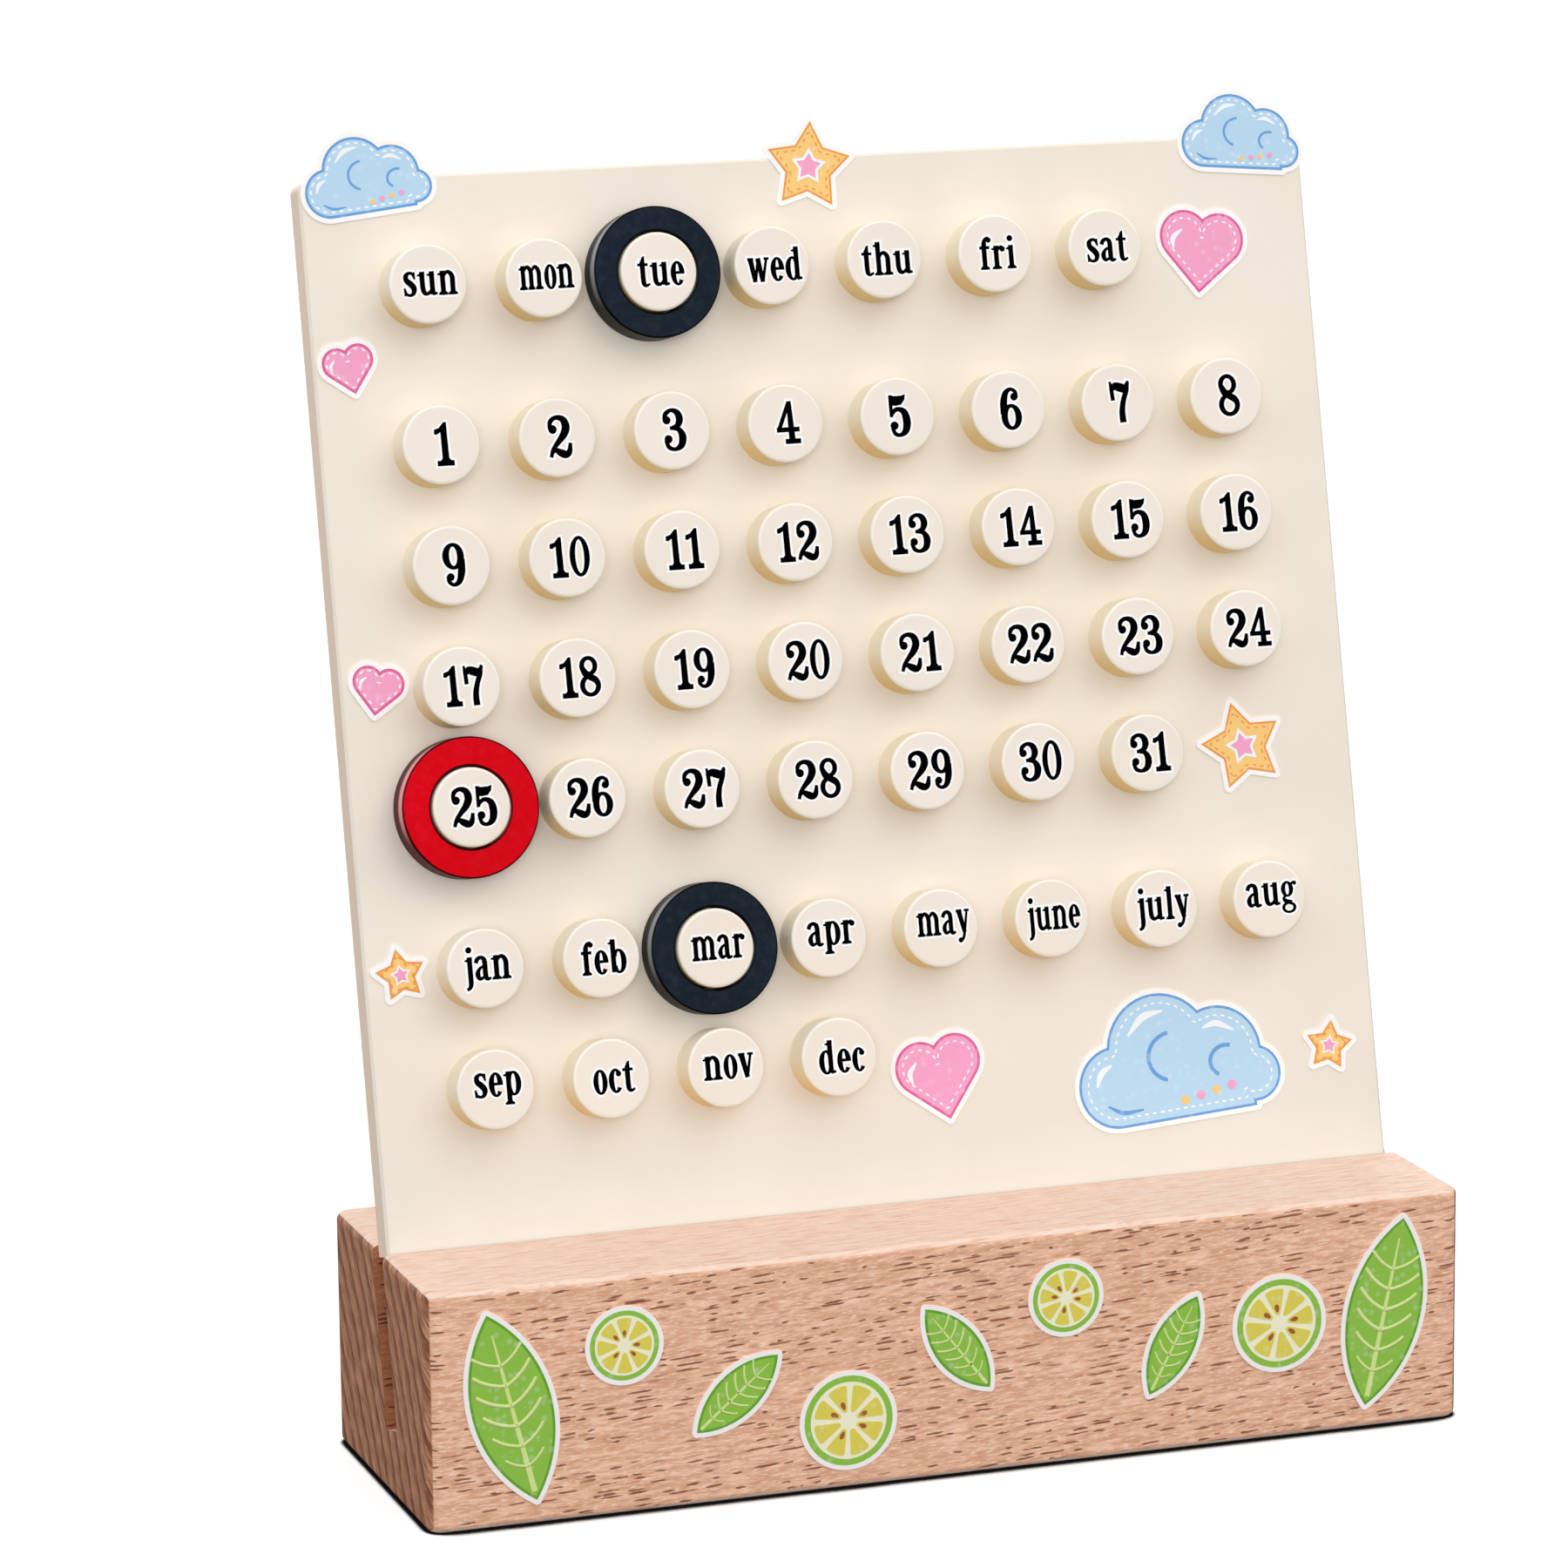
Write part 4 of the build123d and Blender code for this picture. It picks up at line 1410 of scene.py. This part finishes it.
def print_button(sheet, printing, name):
    """Ink over a slightly wider white underprint, in the middle of a button."""
    text = name.lstrip("0")
    figures = text[0].isdigit()
    marks = text_marks(text, FIGURE_GAP if figures else LETTER_GAP)
    low, high = extent(all_cells(marks, 0))
    if len(text) == 1:
        wide = tall = printing.figure_height / FIGURE_UNITS
    elif figures:
        tall = printing.pair_height / FIGURE_UNITS
        wide = printing.pair_width / (2 * GLYPHS["0"][0] + FIGURE_GAP)
    else:
        tall = printing.x_height / LETTER_UNITS
        wide = min(tall, printing.word_width / (high.x - low.x))
    size = Matrix.Diagonal((wide / MM, tall / MM))
    middle = (low + high) / 2
    place = button_face(name) @ Matrix.Translation((printing.shift_across, printing.shift_up, 0))
    spread = printing.figure_spread if figures else printing.word_spread
    for layer, wider, colour in ((1, printing.halo_width, printing.halo), (2, 0, printing.ink)):
        outlines = all_cells(marks, (spread + wider) / tall)
        cells = [[size @ (point - middle) for point in outline] for outline in outlines]
        solid = plate(cells, -PRINT_BITE / MM, layer * INK_STEP / MM)
        sheet.add(solid, place @ Matrix.Scale(MM, 4), colour)


# ---- Operators ----
class CALENDAR_OT_finish_block(bpy.types.Operator):
    """Give the slotted block its beech"""

    bl_idname = "calendar.finish_block"
    bl_label = "Finish the block"

    def execute(self, context):
        finish_nodes(["base_block"], beech_wood(context.scene.calendar_beech))
        return {"FINISHED"}


class CALENDAR_OT_finish_board(bpy.types.Operator):
    """Give the board and its buttons their cream plastic"""

    bl_idname = "calendar.finish_board"
    bl_label = "Finish the board and buttons"

    def execute(self, context):
        plastics = context.scene.calendar_plastics
        finish_nodes(["button_board"], board_plastic(plastics))
        finish_nodes([f"button_{name}" for name in BUTTONS], button_plastic(plastics))
        return {"FINISHED"}


class CALENDAR_OT_finish_rings(bpy.types.Operator):
    """Give the marker rings their black and red plastic"""

    bl_idname = "calendar.finish_rings"
    bl_label = "Finish the rings"

    def execute(self, context):
        plastics = context.scene.calendar_plastics
        # Each ring's edge colour is painted shade on its wall and rounded edges, and its sheen a painted
        # highlight
        black = ring_plastic(
            "black_ring", face=plastics.black_ring, edge=linear(9, 8, 9),
            painted_sheen=linear(150, 158, 172), speck=linear(110, 116, 128),
        )
        red = ring_plastic(
            "red_ring", face=plastics.red_ring, edge=linear(78, 0, 10),
            painted_sheen=linear(250, 168, 172), speck=linear(250, 70, 120),
        )
        finish_nodes(["week_ring", "month_ring"], black)
        finish_nodes(["date_ring"], red)
        return {"FINISHED"}


class CALENDAR_OT_print_buttons(bpy.types.Operator):
    """Print weekdays, dates and months on the buttons"""

    bl_idname = "calendar.print_buttons"
    bl_label = "Print the buttons"

    def execute(self, context):
        ink = print_ink("button_ink", roughness=0.5, flakes=0.0)
        for group, names in (("weekday", WEEKDAYS), ("date", DATES), ("month", MONTHS)):
            sheet = PrintSheet()
            for name in names:
                print_button(sheet, context.scene.calendar_printing, name)
            sheet.make(f"{group}_print", ink, "board")
        return {"FINISHED"}


class CALENDAR_OT_print_board_stickers(bpy.types.Operator):
    """Print the clouds, hearts and stars on the board's stickers"""

    bl_idname = "calendar.print_board_stickers"
    bl_label = "Print the board's stickers"

    def execute(self, context):
        colours = context.scene.calendar_stickers
        face = board_face()
        finish_nodes(["cloud_stickers", "heart_stickers", "star_stickers"], vinyl(colours))
        ink = print_ink("board_sticker_print", roughness=0.3, flakes=0.16)
        print_stickers(face, (
            ("cloud_print", CLOUDS, cloud_layers, 1),
            ("heart_print", HEARTS, heart_layers, 1),
            ("star_print", STARS, star_layers, 1),
        ), colours, ink, "board")
        rule = stitches_rule()
        # Each inset from the edge is a share of the motif's width
        for name, stickers, outline, inset, colour in (
            ("heart", HEARTS, heart_outline, 0.09, colours.vinyl),
            ("star", STARS, star_outline, 0.07, colours.amber_line),
            ("cloud", CLOUDS, cloud_outline, 0.045, colours.vinyl),
        ):
            lines = edge_lines(face, stickers, outline, inset, colour)
            follow_rule(f"{name}_stitches", lines, rule, OUT_OF_BOARD, ink, "board")
        return {"FINISHED"}


class CALENDAR_OT_print_block_stickers(bpy.types.Operator):
    """Print the leaves and citrus slices on the block's stickers"""

    bl_idname = "calendar.print_block_stickers"
    bl_label = "Print the block's stickers"

    def execute(self, context):
        colours = context.scene.calendar_stickers
        face = block_face()
        finish_nodes(["leaf_stickers", "citrus_stickers"], vinyl(colours))
        ink = print_ink("block_sticker_print", roughness=0.3, flakes=0.16)
        print_stickers(face, (
            ("leaf_print", LEAVES, leaf_layers, 1),
            ("slice_print", SLICES, slice_layers, 1),
            ("slice_pips", SLICES, slice_pips, PIP_LAYER),
        ), colours, ink, "base")
        for name, stickers, colour, rule in (
            ("leaf_veins", LEAVES, colours.leaf_vein, veins_rule()),
            ("slice_segments", SLICES, colours.flesh, segments_rule()),
        ):
            points = sticker_points(face, stickers, colour)
            follow_rule(name, points, rule, face.col[2].xyz, ink, "base")
        return {"FINISHED"}


# ---- Stage ----
CAMERA_TARGET = Vector((-22.75, -3.32, 125.79)) * MM
KEY_DIRECTION = Vector((0.45, -0.75, 0.95))
REAR_DIRECTION = Vector((0.1, 0.97, 0.1))
SENSOR_WIDTH = 36  # millimetres
VIEW_DEPTH = (0.05, 20)
FLOOR_SIZE = 8.0
FLOOR_BOUNCE = 0.16  # share of the light that the floor throws back on the calendar
FLOOR_GLOW = 0.62  # lifts the floor to white where the calendar's shadow isn't deep
FLOOR_WHITES = (0.58, 0.56)  # the paper's mottle runs between these
CONTACT_SHADOW_TONE = 0.01  # tone of the painted contact shadow at its darkest
CONTACT_OPENING = (0.56, 0.72)  # share of open space where the painted contact shadow is full, and where it ends
CONTACT_REACH = 6 * MM  # how far the painted contact shadow under the block's long edges spreads
END_REACH = 2.2 * MM  # how far it spreads beside the block's ends


def aim(thing, target, roll=0.0):
    """Turn a camera or light so that it looks at a point."""
    look = (target - thing.location).to_track_quat("-Z", "Y").to_matrix().to_4x4()
    thing.matrix_world = Matrix.Translation(thing.location) @ look @ Matrix.Rotation(roll, 4, "Z")


def hang_sun(name, direction, strength, spread):
    """A wide sun that shines on the calendar from one direction."""
    light = bpy.data.lights.new(name, "SUN")
    light.energy, light.angle = strength, spread
    lamp = new_object(name, light)
    lamp.location = CAMERA_TARGET + direction
    aim(lamp, CAMERA_TARGET)


def white_world(strength):
    """White behind the calendar and in its reflections, and a gentler light on everything else."""
    world = bpy.data.worlds.new("white_room")
    world.use_nodes = True
    tree = world.node_tree
    path = tree.nodes.new("ShaderNodeLightPath").outputs
    seen = maths(tree, "ADD", path["Is Camera Ray"], path["Is Glossy Ray"])
    seen = maths(tree, "MINIMUM", maths(tree, "ADD", seen, path["Is Transmission Ray"]), 1.0)
    light = remap(tree, seen, 0.0, 1.0, strength, 1.0, "LINEAR")
    plug(tree, tree.nodes["Background"], {"Color": (1, 1, 1), "Strength": light})
    bpy.context.scene.world = world


def floor_paper():
    """White paper that glows for the camera, but not in the calendar's shadow, with a painted contact
    shadow under the block.
    """
    material, tree, shader, coords = start_material("white_floor")
    mottle = noise(tree, coords.outputs["Object"], 300.0)["Fac"]
    white = blend(tree, mottle, *[[shade] * 3 for shade in FLOOR_WHITES])
    # Painted contact shadow: darker where little open space is left round the floor, narrower beside the
    # block's ends
    from_middle = maths(tree, "ABSOLUTE", parts(tree, coords.outputs["Object"])[0])
    block_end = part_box("base_block")[1].x
    spread = remap(tree, from_middle, block_end - 2 * MM, block_end, CONTACT_REACH, END_REACH)
    gap = add(tree, "ShaderNodeAmbientOcclusion", {"Distance": spread}, samples=16).outputs["AO"]
    lit = remap(tree, gap, *CONTACT_OPENING)
    seen = tree.nodes.new("ShaderNodeLightPath").outputs["Is Camera Ray"]
    tone = blend(tree, lit, [CONTACT_SHADOW_TONE] * 3, white)
    plug(tree, shader, {
        "Base Color": blend(tree, seen, [FLOOR_BOUNCE] * 3, tone),
        "Emission Color": blend(tree, maths(tree, "MULTIPLY", seen, lit), (0, 0, 0), (1, 1, 1)),
        "Emission Strength": FLOOR_GLOW,
        "Roughness": 1.0,
        "Specular IOR Level": 0.0,
    })
    return material


def white_floor():
    """A wide white floor that keeps the calendar's shadow."""
    half = FLOOR_SIZE / 2
    mesh = bpy.data.meshes.new("floor")
    square = [(-half, -half, 0), (half, -half, 0), (half, half, 0), (-half, half, 0)]
    mesh.from_pydata(square, [], [(0, 1, 2, 3)])
    mesh.materials.append(floor_paper())
    new_object("floor", mesh)


class CALENDAR_OT_set_stage(bpy.types.Operator):
    """Set the floor, the lights, the white background and the camera"""

    bl_idname = "calendar.set_stage"
    bl_label = "Set the stage"

    def execute(self, context):
        stage = context.scene.calendar_stage
        white_floor()
        white_world(stage.dome)
        camera = new_object("camera", bpy.data.cameras.new("camera"))
        back = Vector((
            math.sin(stage.azimuth) * math.cos(stage.elevation),
            -math.cos(stage.azimuth) * math.cos(stage.elevation),
            math.sin(stage.elevation),
        ))
        hang_sun("key", KEY_DIRECTION, stage.key, stage.key_spread)
        hang_sun("fill", back, stage.fill, stage.key_spread / 2)
        hang_sun("rear", REAR_DIRECTION, stage.rear, stage.key_spread)
        camera.location = CAMERA_TARGET + back * stage.distance
        aim(camera, CAMERA_TARGET, stage.roll)
        camera.data.lens, camera.data.sensor_width = stage.lens, SENSOR_WIDTH
        camera.data.clip_start, camera.data.clip_end = VIEW_DEPTH
        context.scene.camera = camera
        context.scene.view_settings.view_transform = "Standard"
        return {"FINISHED"}


OPERATORS = [
    CALENDAR_OT_finish_block, CALENDAR_OT_finish_board, CALENDAR_OT_finish_rings,
    CALENDAR_OT_print_buttons, CALENDAR_OT_print_board_stickers, CALENDAR_OT_print_block_stickers,
    CALENDAR_OT_set_stage,
]


class VIEW3D_PT_calendar(bpy.types.Panel):
    """The calendar's pieces, with their sizes and colours"""

    bl_label = "Perpetual desk calendar"
    bl_space_type = "VIEW_3D"
    bl_region_type = "UI"
    bl_category = "Calendar"

    def draw(self, context):
        for operator in OPERATORS:
            self.layout.operator(operator.bl_idname)
        for name, group in GROUPS.items():
            box = self.layout.box()
            box.label(text=name.replace("_", " ").capitalize())
            for prop in group.__annotations__:
                box.prop(getattr(context.scene, name), prop)


def register():
    for group in GROUPS.values():
        bpy.utils.register_class(group)
    for name, group in GROUPS.items():
        setattr(bpy.types.Scene, name, bpy.props.PointerProperty(type=group))
    for item in [*OPERATORS, VIEW3D_PT_calendar]:
        bpy.utils.register_class(item)


def unregister():
    for item in [VIEW3D_PT_calendar, *reversed(OPERATORS)]:
        bpy.utils.unregister_class(item)
    for name, group in GROUPS.items():
        delattr(bpy.types.Scene, name)
        bpy.utils.unregister_class(group)


def corners(box):
    return [list(corner) for corner in box]


def main():
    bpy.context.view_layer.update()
    register()
    for operator in OPERATORS:
        group, name = operator.bl_idname.split(".")
        getattr(getattr(bpy.ops, group), name)()


if __name__ == "__main__":
    main()
